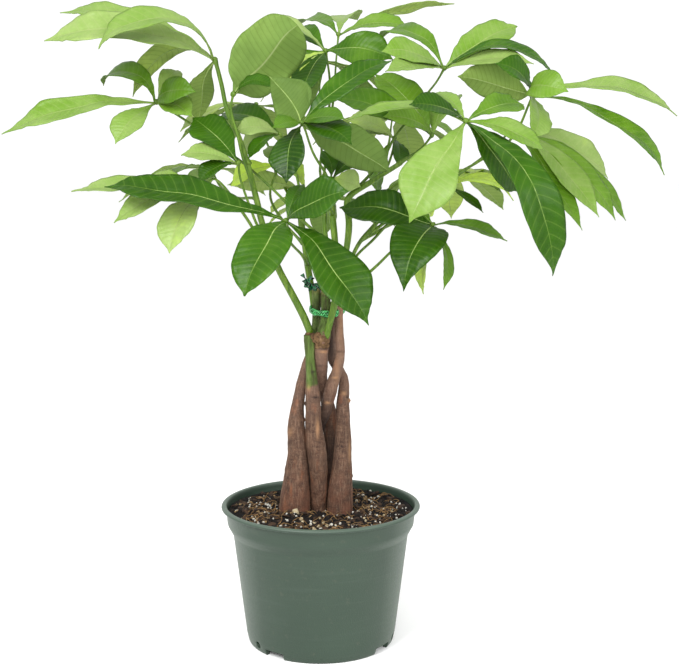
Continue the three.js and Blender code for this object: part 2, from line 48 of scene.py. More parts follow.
# The plant is laid out by its front view, in the same millimetres as the part: a point is
# (across, up, toward), and the eye is as far from the pot as a person who stands over a low table.
POT_LOW, POT_HIGH = (Vector(corner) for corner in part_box("pot"))
AXIS = Vector(((POT_LOW.x + POT_HIGH.x) / 2, (POT_LOW.y + POT_HIGH.y) / 2, 0))
EYE_DISTANCE = 1057 * MM
EYE_PITCH = math.radians(7.6)
# The middle of the view, across and up, and its height over the floor
VIEW_ACROSS, VIEW_UPWARD, VIEW_HEIGHT = 16, 278, 266
FORWARD = Vector((0, math.cos(EYE_PITCH), -math.sin(EYE_PITCH)))
VIEW_UP = Vector((0, math.sin(EYE_PITCH), math.cos(EYE_PITCH)))
MIDDLE = AXIS + Vector((VIEW_ACROSS, 0, VIEW_HEIGHT)) * MM
EYE = MIDDLE - EYE_DISTANCE * FORWARD
PHOTO_WIDTH = 679
PIXEL = 0.84 * MM

# Pot, in millimetres and degrees. The wall's inner side turns into the floor at the height FOOT_TURN, and
# the painted shade on it starts INSIDE_DEPTH behind the outer side.
POT_HEIGHT = 119.5
LIP_RADIUS = 84.7
BAND_RADIUS = 81.1
BODY_TOP_RADIUS = 75
BODY_FOOT_RADIUS = 64
FOOT_RADIUS = 61
WALL = 1.2
INSIDE_DEPTH = 0.7
POT_SIDES = 144
NOTCH_WIDTH = 19
NOTCH_HEIGHT = 6
NOTCH_ANGLES = (-37.5, 56, 147, -129)
DRAIN_RADIUS = 3
FOOT_TURN = 9
DRAIN_HEIGHT = 6.6
DRAIN_ANGLES = (-55, 74, 164, -146)

# Soil, in millimetres. The shares of its banks add up to BANK_TOTAL at most.
SOIL_LEVEL = 111.5
SOIL_RISE = 2.5
SOIL_SIDES = 192
SOIL_RINGS = 46
RING_STEP = 1.6
# Unevenness in three sizes: name, size and strength in metres
SOIL_CLOUDS = (("mounds", 0.03, 0.007), ("clods", 0.009, 0.0055), ("crumbs", 0.0035, 0.003))
BANK_TOTAL = 3
# Loose bits start within this of the pot's axis, and fibres a little nearer
BIT_SPREAD = 75
FIBRE_SPREAD = 72
FIBRE_COUNT = 230
FIBRE_STEPS = 8
# Height in metres from which loose bits fall on the soil
DROP_HEIGHT = 0.2

# The larger pale bits on the soil, where the front view shows them: (across, up, size)
CREAM_GRAINS = (
    (-20.5, 126.5, 7), (-16.5, 121, 4), (-15, 118.5, 3.4), (-5, 117.5, 3.6), (-1.6, 114.8, 4),
    (2.4, 117.6, 3.4), (5.4, 115.6, 3.8), (-5.2, 112.4, 4.4), (-1, 110.8, 3), (3.6, 111.4, 3.2),
    (8, 108.6, 2.6), (12.6, 116.2, 2.8), (14, 108.4, 3.4), (18.6, 109.4, 4), (-0.6, 121.6, 2.6),
    (27, 120.4, 2.8), (33, 116, 2.4), (38, 119.6, 3), (42, 113.4, 3.2), (47, 113.8, 2.6),
    (36.6, 122, 2.6), (-57, 114.6, 3.6), (-52.6, 113.8, 3.8), (-49, 115, 2.8), (-60.8, 118, 2.6),
    (-54, 122.6, 2.4), (-66, 121, 2.6), (-29, 108.6, 2.6), (-24, 114, 2.4), (-47.6, 139.6, 2.8),
    (-38, 134, 2.4), (53, 124.6, 2.6), (60, 127.4, 2.4),
)

# Leaflets: half-widths along a blade from its hub to its tip, as shares of its length and widest half
BLADE_OUTLINES = {
    "long": (
        (0, 0.05), (0.06, 0.1), (0.18, 0.34), (0.36, 0.8), (0.54, 1), (0.68, 0.86), (0.8, 0.56),
        (0.89, 0.27), (0.95, 0.1), (1, 0.012),
    ),
    "oval": (
        (0, 0.05), (0.05, 0.12), (0.15, 0.46), (0.3, 0.88), (0.46, 1), (0.64, 0.9), (0.8, 0.6),
        (0.9, 0.29), (0.96, 0.1), (1, 0.012),
    ),
    "heart": (
        (0, 0.05), (0.03, 0.3), (0.1, 0.74), (0.22, 0.97), (0.36, 1), (0.54, 0.84), (0.72, 0.53),
        (0.86, 0.24), (0.95, 0.07), (1, 0.012),
    ),
    "blunt": (
        (0, 0.05), (0.04, 0.24), (0.12, 0.6), (0.28, 0.93), (0.48, 1), (0.68, 0.93), (0.84, 0.7),
        (0.94, 0.4), (0.98, 0.18), (1, 0.02),
    ),
}
BLADE_ROWS = 56
BLADE_COLUMNS = 14
VEIN_PAIRS = 17
# In a blade of length and width 1: how far side veins run to the tip, how high the margins stand, and how
# deep the puckers between the veins and the groove over the midrib are
VEIN_SWEEP = 0.13
VEIN_CURVE = 0.11
BLADE_FOLD = 0.17
FOLD_CURVE = 0.05
PUCKER = 0.0006
RIB_GROOVE = 0.012
# In millimetres
BLADE_THICKNESS = 0.45
ROOT_OFFSET = 1.5
STALK_RADII = (0.85, 1.35)
# How much thicker a stalk is at its ends, as a share, and how far that reaches
STALK_SWELL = 0.55
SWELL_REACH = 4
KNOB_RADIUS = 2.3
# Share of its table's radius that a shoot's stem has
STEM_FULLNESS = 0.9
# How far a leaflet is twisted along its length, either way, in radians
LEAF_TWIST = 0.22
# Share of light that passes through a leaf
LEAF_GLOW = 0.4

# Stems, from the soil up: (across, up, toward, radius)
TRUNKS = {
    "trunk_left": (
        (-24, 84, 4, 9), (-22, 122, 9, 13.5), (-21.2, 140, 9, 12.4), (-20.2, 156, 9, 10.8),
        (-19.4, 174, 9, 8.7), (-19.7, 187, 8.5, 8), (-20.1, 198, 8, 7.4), (-19.7, 210, 7, 6.2),
        (-18, 223, 5, 5.1), (-13, 246, -3, 4.4), (-6.4, 266, -8, 4), (-3.6, 284, -2, 3.7),
        (-3.4, 317, 3, 3.5),
    ),
    "trunk_centre_left": (
        (-1, 84, 2, 5), (-1.3, 122, 4, 6.2), (-1.4, 143, 7, 6.8), (-1.8, 163, 10, 7.8),
        (-3.6, 182, 11.5, 8.1), (-6, 201, 11.5, 7.2), (-6.4, 219, 11, 6.2), (-7.1, 232, 10, 5.6),
        (-8.8, 256, 9, 3.9), (-9.5, 276, 9, 4.6),
    ),
    "trunk_centre": (
        (8, 84, -14, 5), (8, 132, -13, 5.8), (8, 180, -13, 6.4), (8.2, 205, -12, 6), (5, 222, -9, 5.8),
        (0, 238, -4, 6), (0.4, 252, 4, 6.1), (1, 267, 8, 6), (3, 277, 8, 6), (4.3, 292, 6, 4.1),
        (4.3, 315, 5, 3.8),
    ),
    "trunk_back": (
        (-5, 84, -12, 6), (-5, 130, -11, 6.4), (-4, 180, -9, 6), (-1, 200, -5, 5.4), (3.5, 210, 3, 4.8),
        (8.5, 229, 6.5, 5), (11, 238, 7.5, 4.8), (15, 250, 9, 4.4), (16.8, 260, 9, 4),
        (15.5, 280, 7, 3.9), (15.4, 304, 6, 3.4),
    ),
    "trunk_right": (
        (18, 84, 7, 9), (16.4, 126, 7, 11), (16.8, 146, 7, 10.2), (18, 165, 6, 8.7),
        (18.9, 183, 4, 7.1), (18.9, 201, 2, 6.1), (18.9, 219, -1, 5.3), (19.5, 238, -5, 4.4),
        (14.5, 248, -9, 4.5), (10, 257, -11, 4.3), (8.8, 270, -12, 3.8), (11, 291, -9, 3.2),
    ),
}
# Bark of each trunk: the height along the view's up at which it turns green, and how red its foot is
TRUNK_BARK = {
    "trunk_left": (277, 1),
    "trunk_centre_left": (234, 0.4),
    "trunk_centre": (276, 0.4),
    "trunk_back": (None, 0.4),
    "trunk_right": (None, 1),
}
# Heights between which the red of a foot fades, and how far above and below its height green starts
RED_FADE = (122, 165)
GREEN_FADE = 6
# Shade low on the trunks that stand behind: how strong it is, and the heights between which it fades
TRUNK_SHADE = {"trunk_centre": (0.6, 180, 215), "trunk_back": (0.85, 203, 232)}

# Knobs, nicks and scars of the bark, and one long dark mark of painted shade: (across, up, half-width,
# half-height, how far it stands out, and how pale it is, from -1 black to 1 tan)
BARK_MARKS = {
    "trunk_left": (
        (-26, 194, 2.6, 3.4, 0.4, 0.5), (-12.6, 205, 1.4, 1.4, 1.6, -1),
        (-21, 250, 1.6, 1.2, 0.8, -0.7), (-3.4, 315, 5, 3, 0, 0.45), (-3.2, 298, 2.6, 12, 0, -0.6),
    ),
    "trunk_centre_left": (
        (-12.2, 218.4, 1.5, 1.3, 1.6, -1), (-3.8, 223.4, 3.2, 0.9, -0.9, -1),
        (-2.1, 186, 2.6, 0.8, -0.8, -0.9), (-2.4, 197, 1.3, 7, 0.3, 0.9), (-6, 245, 3, 0.7, 0.5, -0.7),
        (-10, 231, 1.6, 3, 0.2, 0.6),
    ),
    "trunk_centre": (
        (3, 264.6, 3.6, 1.2, 0.9, -1), (2.5, 261.8, 3.4, 1.1, 0.6, 1), (0.5, 250, 3, 0.7, 0.4, -0.6),
        (5.1, 149.5, 1.2, 1.6, 1, 0.9), (4.3, 314, 5, 3.4, 0, 0.6), (4.3, 308.5, 5, 0.7, 0.4, -0.7),
    ),
    "trunk_back": (
        (5.8, 219, 2.4, 1, 0.8, 0.9), (12, 240, 2.4, 0.8, 0.6, 0.8), (16, 262, 4, 1, 0.7, -0.6),
        (17.4, 292, 2.2, 22, 0, 0.55), (14, 246, 2.2, 12, 0, 0.4),
    ),
    "trunk_right": (
        (24.4, 220.9, 1.5, 1.6, 1.5, 0.9), (22.8, 223.6, 1.2, 0.9, -0.7, -1),
        (19.7, 226.8, 2, 1.6, 0.2, 0.9), (14.4, 182.3, 1, 0.7, -0.6, -1),
        (17.8, 182.3, 1, 0.7, -0.6, -1), (27.6, 158, 1.1, 1.1, 1.6, -0.8), (24.5, 178, 1, 9, 0.2, 0.7),
        # Painted shade: a long dark mark where the trunk's head passes behind the others
        (9, 266, 3, 20, 0, -0.9),
    ),
}
# How far a mark of full weight moves the bark
MARK_DEPTH = 2
# Lumps of callus where the cut stems have grown together: (across, up, toward, radius)
CALLUS = (
    (-9.6, 276.5, 9, 3.3), (-6.5, 275, 11, 2.9), (-2, 275.5, 11.5, 3.2), (2, 273.5, 12, 3.4),
    (5, 270.5, 11.5, 2.9), (-0.5, 270, 11.5, 3.4), (-4.4, 271.5, 11, 2.8), (-2, 266.5, 11, 3),
    (2.5, 266.5, 11.5, 3.2), (5, 267, 11, 2.8),
)

# Stems of the leafy shoots, from the trunks' heads up: (across, up, toward, radius)
SHOOT_STEMS = {
    "shoot_left": (
        (-9.5, 277, 9, 3.6), (-20, 302, 11, 3.4), (-34, 328, 12, 3.2), (-49, 367, 10, 3.1),
        (-55, 390, 9, 2.9), (-62, 420, 6, 2.6),
    ),
    "shoot_centre_left": (
        (-6, 300, -6, 3), (-9, 322, -8, 3), (-12, 347, -8, 3), (-15, 372, -8, 2.8), (-16, 396, -9, 2.4),
    ),
    "shoot_top": (
        (4.7, 310, -0.8, 2.6), (4, 340, -14, 2.2), (2, 372, -18, 2), (4, 410, -26, 1.9),
    ),
    "shoot_centre": (
        (5, 273, 13, 3.2), (8.8, 288, 17, 3.1), (13, 305, 17, 3), (12.5, 338, 6, 3.1),
        (11, 372, 0, 3.1), (11, 396, 0, 2.6),
    ),
    "shoot_right": (
        (15.2, 305, 6, 3.6), (17, 322, 5, 3.4), (21, 341, 4, 3.4), (25, 368, 2, 3.2), (26, 392, 2, 3),
        (47, 409, 4, 2.6), (68, 422, 6, 2.4),
    ),
    "shoot_right_low": (
        (11, 290, -9, 2.6), (16.5, 312, -8, 2.6), (24, 334, -9, 2.4), (34, 356, -12, 2.2),
        (50, 374, -14, 2),
    ),
}

# Leaves: the hub, the points of the stalk down to the stem, the leaflets, and the stalk's radii where it
# is a stout one. A leaflet is (across, up, toward, width, arch, face, tone) of its tip, and the name of its
# outline where it isn't long. Face is the angle that its upper side turns to the viewer. The tone goes from
# 0 dark to 1 pale, and above that to a bright yellow-green. It is partly the leaflet's own green and partly
# painted light: dark leaflets are painted as in shade, pale ones as lit, and the yellow-green is painted
# backlight.
LEAVES = {
    "shoot_left": (
        (
            (-90, 507, 0),
            ((-84, 487, 0), (-77, 460, 2), (-68, 439, 4), (-61, 417, 6)),
            (
                (-221, 548, -30, 29, 15, 32, 0.8), (-232, 524, 5, 38, 20, 40, 0.9),
                (-188, 514, 35, 32, 34, 26, 0.78), (-158, 476, -40, 28, 27, -37, 0.95),
                (-104, 454, -45, 28, 6, -50, 0.75),
            ),
            (1.5, 2.3),
        ),
        (
            (-73, 477, 14),
            ((-75, 466, 14), (-73, 454, 13), (-68, 433, 12), (-57, 398, 9)),
            (
                (-18, 536, -8, 55, 9, -74, 0.62, "blunt"), (-38, 485, 24, 17, 8, 28, 0.3, "oval"),
            ),
        ),
        (
            (-68, 420, 26),
            ((-66, 402, 24), (-58, 375, 20), (-44, 350, 12)),
            (
                (-108, 458, 2, 34, 6, 62, 0.3), (-117, 426, 30, 22, 6, 34, 0.9),
                (-103, 405, 44, 20, 7, 32, 0.2),
            ),
        ),
        (
            (-101, 394, 46),
            ((-91, 408, 44), (-79, 397, 38), (-60, 368, 24), (-38, 335, 12)),
            (
                (-150, 406, 22, 25, 7, 32, 0.8), (-209, 396, 46, 30, 8, 26, 0.85),
                (-171, 371, 66, 26, 11, 34, 0.85), (-126, 345, 92, 32, 9, 56, 0.93),
            ),
        ),
    ),
    "shoot_centre_left": (
        (
            (-32, 446, -8),
            ((-26, 424, -9), (-16, 394, -9)),
            (
                (-65, 431, -34, 26, 5, 52, 0.95), (-72, 447, -6, 22, 5, 44, 0.9),
                (-84, 463, -40, 28, 6, 46, 0.3), (-61, 422, 12, 17, 5, 34, 0.3),
            ),
        ),
        (
            (-36, 420, -34),
            ((-42, 395, -32), (-30, 372, -20), (-14, 352, -9)),
            (
                (-76, 402, -50, 24, 5, 38, 1.2), (-30, 436, -75, 26, 6, 40, 0.8, "oval"),
            ),
        ),
        (
            (-13, 398, -36),
            ((-13, 384, -26), (-14, 366, -10)),
            (
                (-78, 404, -62, 27, 5, -46, 0.9), (-34, 424, -90, 24, 6, 40, 1.15),
            ),
        ),
        (
            (-29, 373, 92),
            ((-28, 371, 72), (-24, 356, 36), (-10.5, 335, -8)),
            (
                (-180, 401, 70, 37, 8, 42, 0.25), (-63, 308, 142, 41, 12, 64, 0.36, "oval"),
                (42, 284, 120, 44, 12, 58, 0.25), (25, 396, 132, 33, 9, 54, 0.25),
                (-12, 401, 70, 18, 4, 45, 0.3),
            ),
        ),
    ),
    "shoot_top": (
        (
            (4, 515, -62),
            ((6, 480, -52), (5, 440, -36), (4, 405, -25)),
            (
                (60, 508, -24, 34, 8, 50, 0.42), (-49, 491, -84, 26, 9, 36, 0.45),
                (-21, 532, -96, 24, 5, 50, 0.35), (-36, 480, -50, 24, 9, 40, 1.05),
                (-15, 473, -22, 29, 7, 50, 0.2, "oval"), (-47, 541, -66, 22, 7, 20, 0.95),
            ),
        ),
        (
            (15, 528, -96),
            ((12, 490, -84), (6, 440, -52), (3, 392, -22)),
            (
                (113, 555, -116, 21, 7, -22, 0.95), (75, 533, -74, 26, 10, 32, 0.65),
                (30, 541, -180, 28, 10, 24, 0.85), (-20, 536, -170, 28, 10, 24, 0.5),
            ),
        ),
    ),
    "shoot_centre": (
        (
            (-17, 454, 72),
            ((-4, 424, 52), (5, 405, 34), (11, 374, 0)),
            (
                (-42, 494, 54, 40, 7, -64, 0.48, "heart"), (-29, 404, 106, 27, 7, 55, 0.12),
                (57, 412, 52, 38, 7, -58, 0.5, "oval"), (25, 433, 108, 27, 7, 46, 0.22),
                (60, 508, 48, 29, 7, 42, 0.35), (19, 456, 102, 21, 6, 40, 0.45),
                (-39, 451, 100, 17, 4, 40, 0.45),
            ),
        ),
        (
            (11, 405, -6),
            ((11, 392, -1),),
            (
                (35, 402, 12, 20, 5, 58, 0.96), (0, 430, -4, 20, 5, 44, 0.2),
                (34, 424, -24, 20, 5, 44, 0.2),
            ),
        ),
        (
            (-138, 471, -26),
            ((-105, 450, -24), (-68, 422, -12), (-44, 401, 4), (-22, 382, 6), (12.2, 346, 4)),
            (
                (-267, 444, -10, 31, 11, 34, 0.75), (-173, 435, 12, 27, 6, 46, 0.75),
                (-182, 486, -40, 27, 21, 34, 0.5), (-118, 498, -50, 20, 5, 58, 0.85),
                (-104, 480, 14, 25, 8, 50, 0.5), (-108, 459, 8, 24, 6, 46, 0.7),
            ),
        ),
    ),
    "shoot_right": (
        (
            (94, 445, 14),
            ((84, 433, 9), (66, 421, 6)),
            (
                (45, 463, 2, 21, 6, 28, 0.8), (54, 460, 34, 26, 6, 42, 0.6),
                (45, 495, -18, 34, 7, 50, 0.55, "oval"), (12, 477, 12, 31, 7, 42, 0.4),
                (116, 476, -40, 28, 7, 44, 0.75, "oval"),
            ),
        ),
        (
            (105, 501, -14),
            ((88, 475, -12), (69, 450, -8), (53, 428, -4), (27, 394, 2)),
            (
                (166, 534, -36, 34, 7, 46, 0.72, "oval"), (50, 520, -60, 27, 22, 30, 0.52),
                (52, 515, 14, 27, 7, 36, 0.75), (53, 498, 34, 21, 6, 32, 0.8),
                (178, 506, 18, 23, 6, 28, 0.85), (197, 494, -4, 22, 22, 20, 0.35),
            ),
        ),
        (
            (61, 442, -30),
            ((60, 430, -20), (52, 412, 4)),
            (
                (32, 446, -42, 19, 5, 36, 0.95), (20, 457, -30, 25, 6, 40, 0.95),
                (64, 418, -14, 19, 5, 42, 0.2), (47, 396, -52, 24, 6, 42, 0.5),
            ),
        ),
        (
            (123, 455, 84),
            ((112, 436, 74), (86, 416, 50), (52, 394, 22), (26, 374, 3)),
            (
                (75, 371, 116, 43, 9, 70, 0.78), (194, 326, 116, 35, 32, 54, 0.28),
                (187, 430, 98, 27, 7, 26, 0.7), (168, 396, 62, 35, 7, 60, 0.25),
                (171, 468, 62, 29, 7, 40, 0.5), (93, 480, 62, 21, 5, 28, 0.75),
                (22, 458, 78, 26, 11, 17, 0.75), (75, 470, 98, 24, 6, 34, 0.2),
            ),
        ),
    ),
    "shoot_right_low": (
        (
            (179, 475, 24),
            ((160, 440, 14), (132, 419, 4), (112, 410, -4), (84, 396, -10), (48, 372, -14)),
            (
                (115, 493, -8, 35, 6, -60, 0.72, "oval"), (145, 503, 46, 25, 10, 32, 0.3),
                (210, 480, 66, 29, 15, 52, 0.65), (299, 460, 14, 27, 19, 22, 0.8),
                (289, 411, 38, 25, 18, 22, 0.5), (179, 442, 62, 27, 6, 40, 0.75, "oval"),
            ),
        ),
        (
            (160, 450, -34),
            ((146, 432, -34), (117, 410, -33), (80, 386, -24), (40, 362, -13)),
            (
                (249, 373, -16, 28, 12, 38, 0.62), (257, 372, -46, 23, 14, 32, 0.55),
                (235, 376, 6, 26, 9, 40, 0.78), (219, 364, 22, 23, 7, 38, 0.5),
                (241, 408, -66, 33, 12, 44, 0.92),
            ),
        ),
        (
            (106, 400, -50),
            ((78, 384, -42), (48, 360, -26), (27, 338, -10)),
            (
                (163, 390, -44, 22, 14, 20, 1.2), (137, 381, -30, 13, 5, 28, 0.2),
                (92, 374, -60, 23, 6, 34, 1.2), (136, 413, -80, 20, 5, 24, 1.15),
            ),
        ),
        (
            (95, 369, 56),
            ((76, 356, 42), (54, 340, 28), (34, 322, 12), (15.4, 307, -8)),
            (
                (69, 313, 96, 43, 14, 68, 0.2, "heart"), (157, 355, 62, 20, 6, 26, 0.45),
                (16, 382, 36, 36, 7, 48, 0.12, "oval"), (58, 391, 14, 27, 6, 44, 0.45),
                (105, 316, 86, 14, 7, 30, 0.5), (87, 310, 62, 20, 5, 30, 1.05),
            ),
        ),
    ),
}

# Leaves behind the stems follow the part's rule: hub, heading from +X and the longest leaflet
REAR_LEAVES = {
    "shoot_left": ((-100, 84, 404), 145, 96),
    "shoot_centre_left": ((-62, 130, 462), 118, 100),
    "shoot_top": ((-2, 128, 502), 96, 96),
    "shoot_centre": ((6, 130, 376), 95, 88),
    "shoot_right": ((66, 126, 452), 66, 100),
    "shoot_right_low": ((112, 92, 400), 40, 92),
}
REAR_LEAFLETS = 5
REAR_FAN = 230
REAR_DROOP = 24
REAR_SEED = 11

# Ties, in millimetres and degrees. The steps are the points round each, and the ends of the foil one
# are (across, up, toward).
BAND_STEPS = 120
BAND_RADII = (14.1, 14.6)
BAND_SLOPE = 9
BAND_STRANDS = 4
BAND_WINDS = 11
FOIL_STEPS = 60
FOIL_RADIUS = 4.9
FOIL_WIDTH = 3.6
FOIL_THICKNESS = 0.25
FOIL_ENDS = (
    ((-8.6, 314, 4), (-11, 320, 5), (-15.5, 327, 7)),
    ((-8.4, 315, 4), (-10.5, 323, 7), (-5.5, 324, 9)),
    ((-8.6, 313.5, 5), (-12.6, 317.5, 8), (-14, 322, 9)),
)

LOOKS = random.Random(7)
# Studio: how much brighter than its own colour a surface that faces the lamps looks, and the lamps:
# name, place and size in metres, and power in watts
STUDIO_LIGHT = 2.0
SKY_STRENGTH = 1.08
LAMPS = (
    ("key_light", (-0.9, -1.3, 1.6), 0.9, 38),
    ("fill_light", (1.4, -1.0, 0.9), 0.9, 12),
    ("front_light", (0.1, -1.7, 0.8), 0.8, 18),
)
LAMPS_AIM = Vector((0, 0, 0.32))
FLOOR_SIZE = 60


# Places and curves

def seen(across, up, toward):
    """The point that the front view shows at across and up, so far toward the eye from the pot's axis."""
    on_plane = MIDDLE + Vector((across - VIEW_ACROSS, 0, 0)) * MM + VIEW_UP * (up - VIEW_UPWARD) * MM
    ray = on_plane - EYE
    return EYE + ray * ((AXIS.y - toward * MM - EYE.y) / ray.y)


def shown(place):
    """The (across, up) at which the front view shows a place, in millimetres."""
    ray = place - EYE
    offset = EYE + ray * (EYE_DISTANCE / ray.dot(FORWARD)) - MIDDLE
    return offset.x / MM + VIEW_ACROSS, offset.dot(VIEW_UP) / MM + VIEW_UPWARD


def smooth(rows, steps):
    """Rows of (place, radius) with more between them, on a centripetal Catmull-Rom curve."""
    places = [place for place, _ in rows]
    padded = [2 * places[0] - places[1], *places, 2 * places[-1] - places[-2]]
    finer = []
    for i in range(len(places) - 1):
        a, b, c, d = padded[i:i + 4]
        t1 = (b - a).length ** 0.5
        t2 = t1 + (c - b).length ** 0.5
        t3 = t2 + (d - c).length ** 0.5
        for k in range(steps):
            share = k / steps
            t = t1 + (t2 - t1) * share
            ab = a.lerp(b, t / t1)
            bc = b.lerp(c, (t - t1) / (t2 - t1))
            cd = c.lerp(d, (t - t2) / (t3 - t2))
            place = ab.lerp(bc, t / t2).lerp(bc.lerp(cd, (t - t1) / (t3 - t1)), share)
            finer.append((place, rows[i][1] + (rows[i + 1][1] - rows[i][1]) * share))
    finer.append(rows[-1])
    return finer


# Selecting and joining

def alone(piece):
    bpy.ops.object.select_all(action="DESELECT")
    piece.select_set(True)
    bpy.context.view_layer.objects.active = piece
    return piece


def joined(name, pieces):
    alone(pieces[0])
    for piece in pieces:
        piece.select_set(True)
    bpy.ops.object.join()
    bpy.ops.object.transform_apply(location=True, rotation=True, scale=True)
    pieces[0].name = name
    return pieces[0]


def copied(piece, matrix=None):
    """A copy with its own mesh."""
    twin = piece.copy()
    twin.data = piece.data.copy()
    bpy.context.scene.collection.objects.link(twin)
    if matrix:
        twin.matrix_world = matrix
    return twin


def pick(test):
    """In edit mode, selects the vertices whose place passes the test, and what lies between them."""
    mesh = bpy.context.object.data
    shape = bmesh.from_edit_mesh(mesh)
    for part in (*shape.faces, *shape.edges, *shape.verts):
        part.select = False
    for vertex in shape.verts:
        if test(vertex.co):
            vertex.select = True
    shape.select_flush(True)
    bmesh.update_edit_mesh(mesh)


def modified(piece, kind, **settings):
    """Adds a modifier and applies it."""
    alone(piece)
    modifier = piece.modifiers.new(kind.lower(), kind)
    for name, value in settings.items():
        setattr(modifier, name, value)
    bpy.ops.object.modifier_apply(modifier=modifier.name)
    return piece


def clouds(name, size, depth=2, colour=False, kind="CLOUDS"):
    texture = bpy.data.textures.new(name, kind)
    texture.noise_scale = size
    if kind == "CLOUDS":
        texture.noise_depth = depth
        texture.cloud_type = "COLOR" if colour else "GRAYSCALE"
    return texture


def roughened(piece, name, size, strength, **settings):
    """Moves the surface in and out by a cloud pattern of that size and strength in metres."""
    pattern = clouds(name, size, **settings)
    return modified(
        piece, "DISPLACE", texture=pattern, texture_coords="GLOBAL", strength=strength, mid_level=0.5,
    )


def furrowed(piece, name, size, strength, stretch):
    """Moves the surface in and out by a cloud pattern that is stretched upright."""
    rule = bpy.data.objects.new("rule", None)
    rule.scale = (1, 1, stretch)
    bpy.context.scene.collection.objects.link(rule)
    bpy.context.view_layer.update()
    modified(
        piece, "DISPLACE", texture=clouds(name, size), texture_coords="OBJECT", texture_coords_object=rule,
        strength=strength, mid_level=0.5,
    )
    bpy.data.objects.remove(rule)
    return piece


def weighted(piece, name, weights):
    """A vertex group with a weight for each vertex."""
    group = piece.vertex_groups.new(name=name)
    for index, weight in enumerate(weights):
        if weight > 0.001:
            group.add([index], min(1, weight), "REPLACE")
    return name


def valued(piece, name, values):
    """A number for each vertex that the material reads by its name."""
    attribute = piece.data.attributes.new(name, "FLOAT", "POINT")
    attribute.data.foreach_set("value", values)
    return piece


def between(value, low, high):
    """How far a value is from low to high, from 0 to 1."""
    return min(1, max(0, (value - low) / (high - low)))


def tubes(name, strands, sides):
    """Closed round rods through strands of (place, radius in millimetres), as one mesh."""
    curve = bpy.data.curves.new(name, "CURVE")
    curve.dimensions = "3D"
    curve.bevel_depth = MM
    curve.bevel_resolution = (sides - 4) // 2
    curve.use_fill_caps = True
    for strand in strands:
        spline = curve.splines.new("POLY")
        spline.points.add(len(strand) - 1)
        for point, (place, radius) in zip(spline.points, strand):
            point.co = (*place, 1)
            point.radius = radius
    rods = bpy.data.objects.new(name, curve)
    bpy.context.scene.collection.objects.link(rods)
    alone(rods)
    bpy.ops.object.convert(target="MESH")
    rods = bpy.context.object
    bpy.ops.object.mode_set(mode="EDIT")
    bpy.ops.mesh.select_all(action="SELECT")
    bpy.ops.mesh.remove_doubles(threshold=0.000005)
    bpy.ops.mesh.normals_make_consistent(inside=False)
    bpy.ops.object.mode_set(mode="OBJECT")
    bpy.ops.object.shade_smooth()
    return rods


def stepped(name, profile, sides):
    """A turned piece on the pot's axis: a disc, extruded and resized along its (radius, height) points."""
    radius, height = profile[0]
    bpy.ops.object.select_all(action="DESELECT")
    bpy.ops.mesh.primitive_circle_add(
        vertices=sides, radius=radius * MM, fill_type="NGON", location=AXIS + Vector((0, 0, height * MM)),
    )
    piece = bpy.context.object
    piece.name = name
    bpy.ops.object.transform_apply(location=True)
    bpy.ops.object.mode_set(mode="EDIT")
    bpy.ops.mesh.select_all(action="SELECT")
    for next_radius, next_height in profile[1:]:
        rise = (next_height - height) * MM
        bpy.ops.mesh.extrude_region_move(TRANSFORM_OT_translate={"value": (0, 0, rise)})
        grow = next_radius / radius
        middle = AXIS + Vector((0, 0, next_height * MM))
        bpy.ops.transform.resize(value=(grow, grow, 1), center_override=middle)
        radius, height = next_radius, next_height
    bpy.ops.mesh.select_all(action="SELECT")
    bpy.ops.mesh.normals_make_consistent(inside=False)
    bpy.ops.object.mode_set(mode="OBJECT")
    return piece


def finished(piece, slot, *nodes):
    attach(piece, "root")
    if nodes:
        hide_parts(*nodes)
    return piece


# Materials

def linear(red, green, blue):
    """The surface colour that the studio's light shows as this colour, each part from 0 to 255."""
    parts = [part / 255 for part in (red, green, blue)]
    light = [part / 12.92 if part <= 0.04 else ((part + 0.055) / 1.055) ** 2.4 for part in parts]
    return (*(part / STUDIO_LIGHT for part in light), 1)


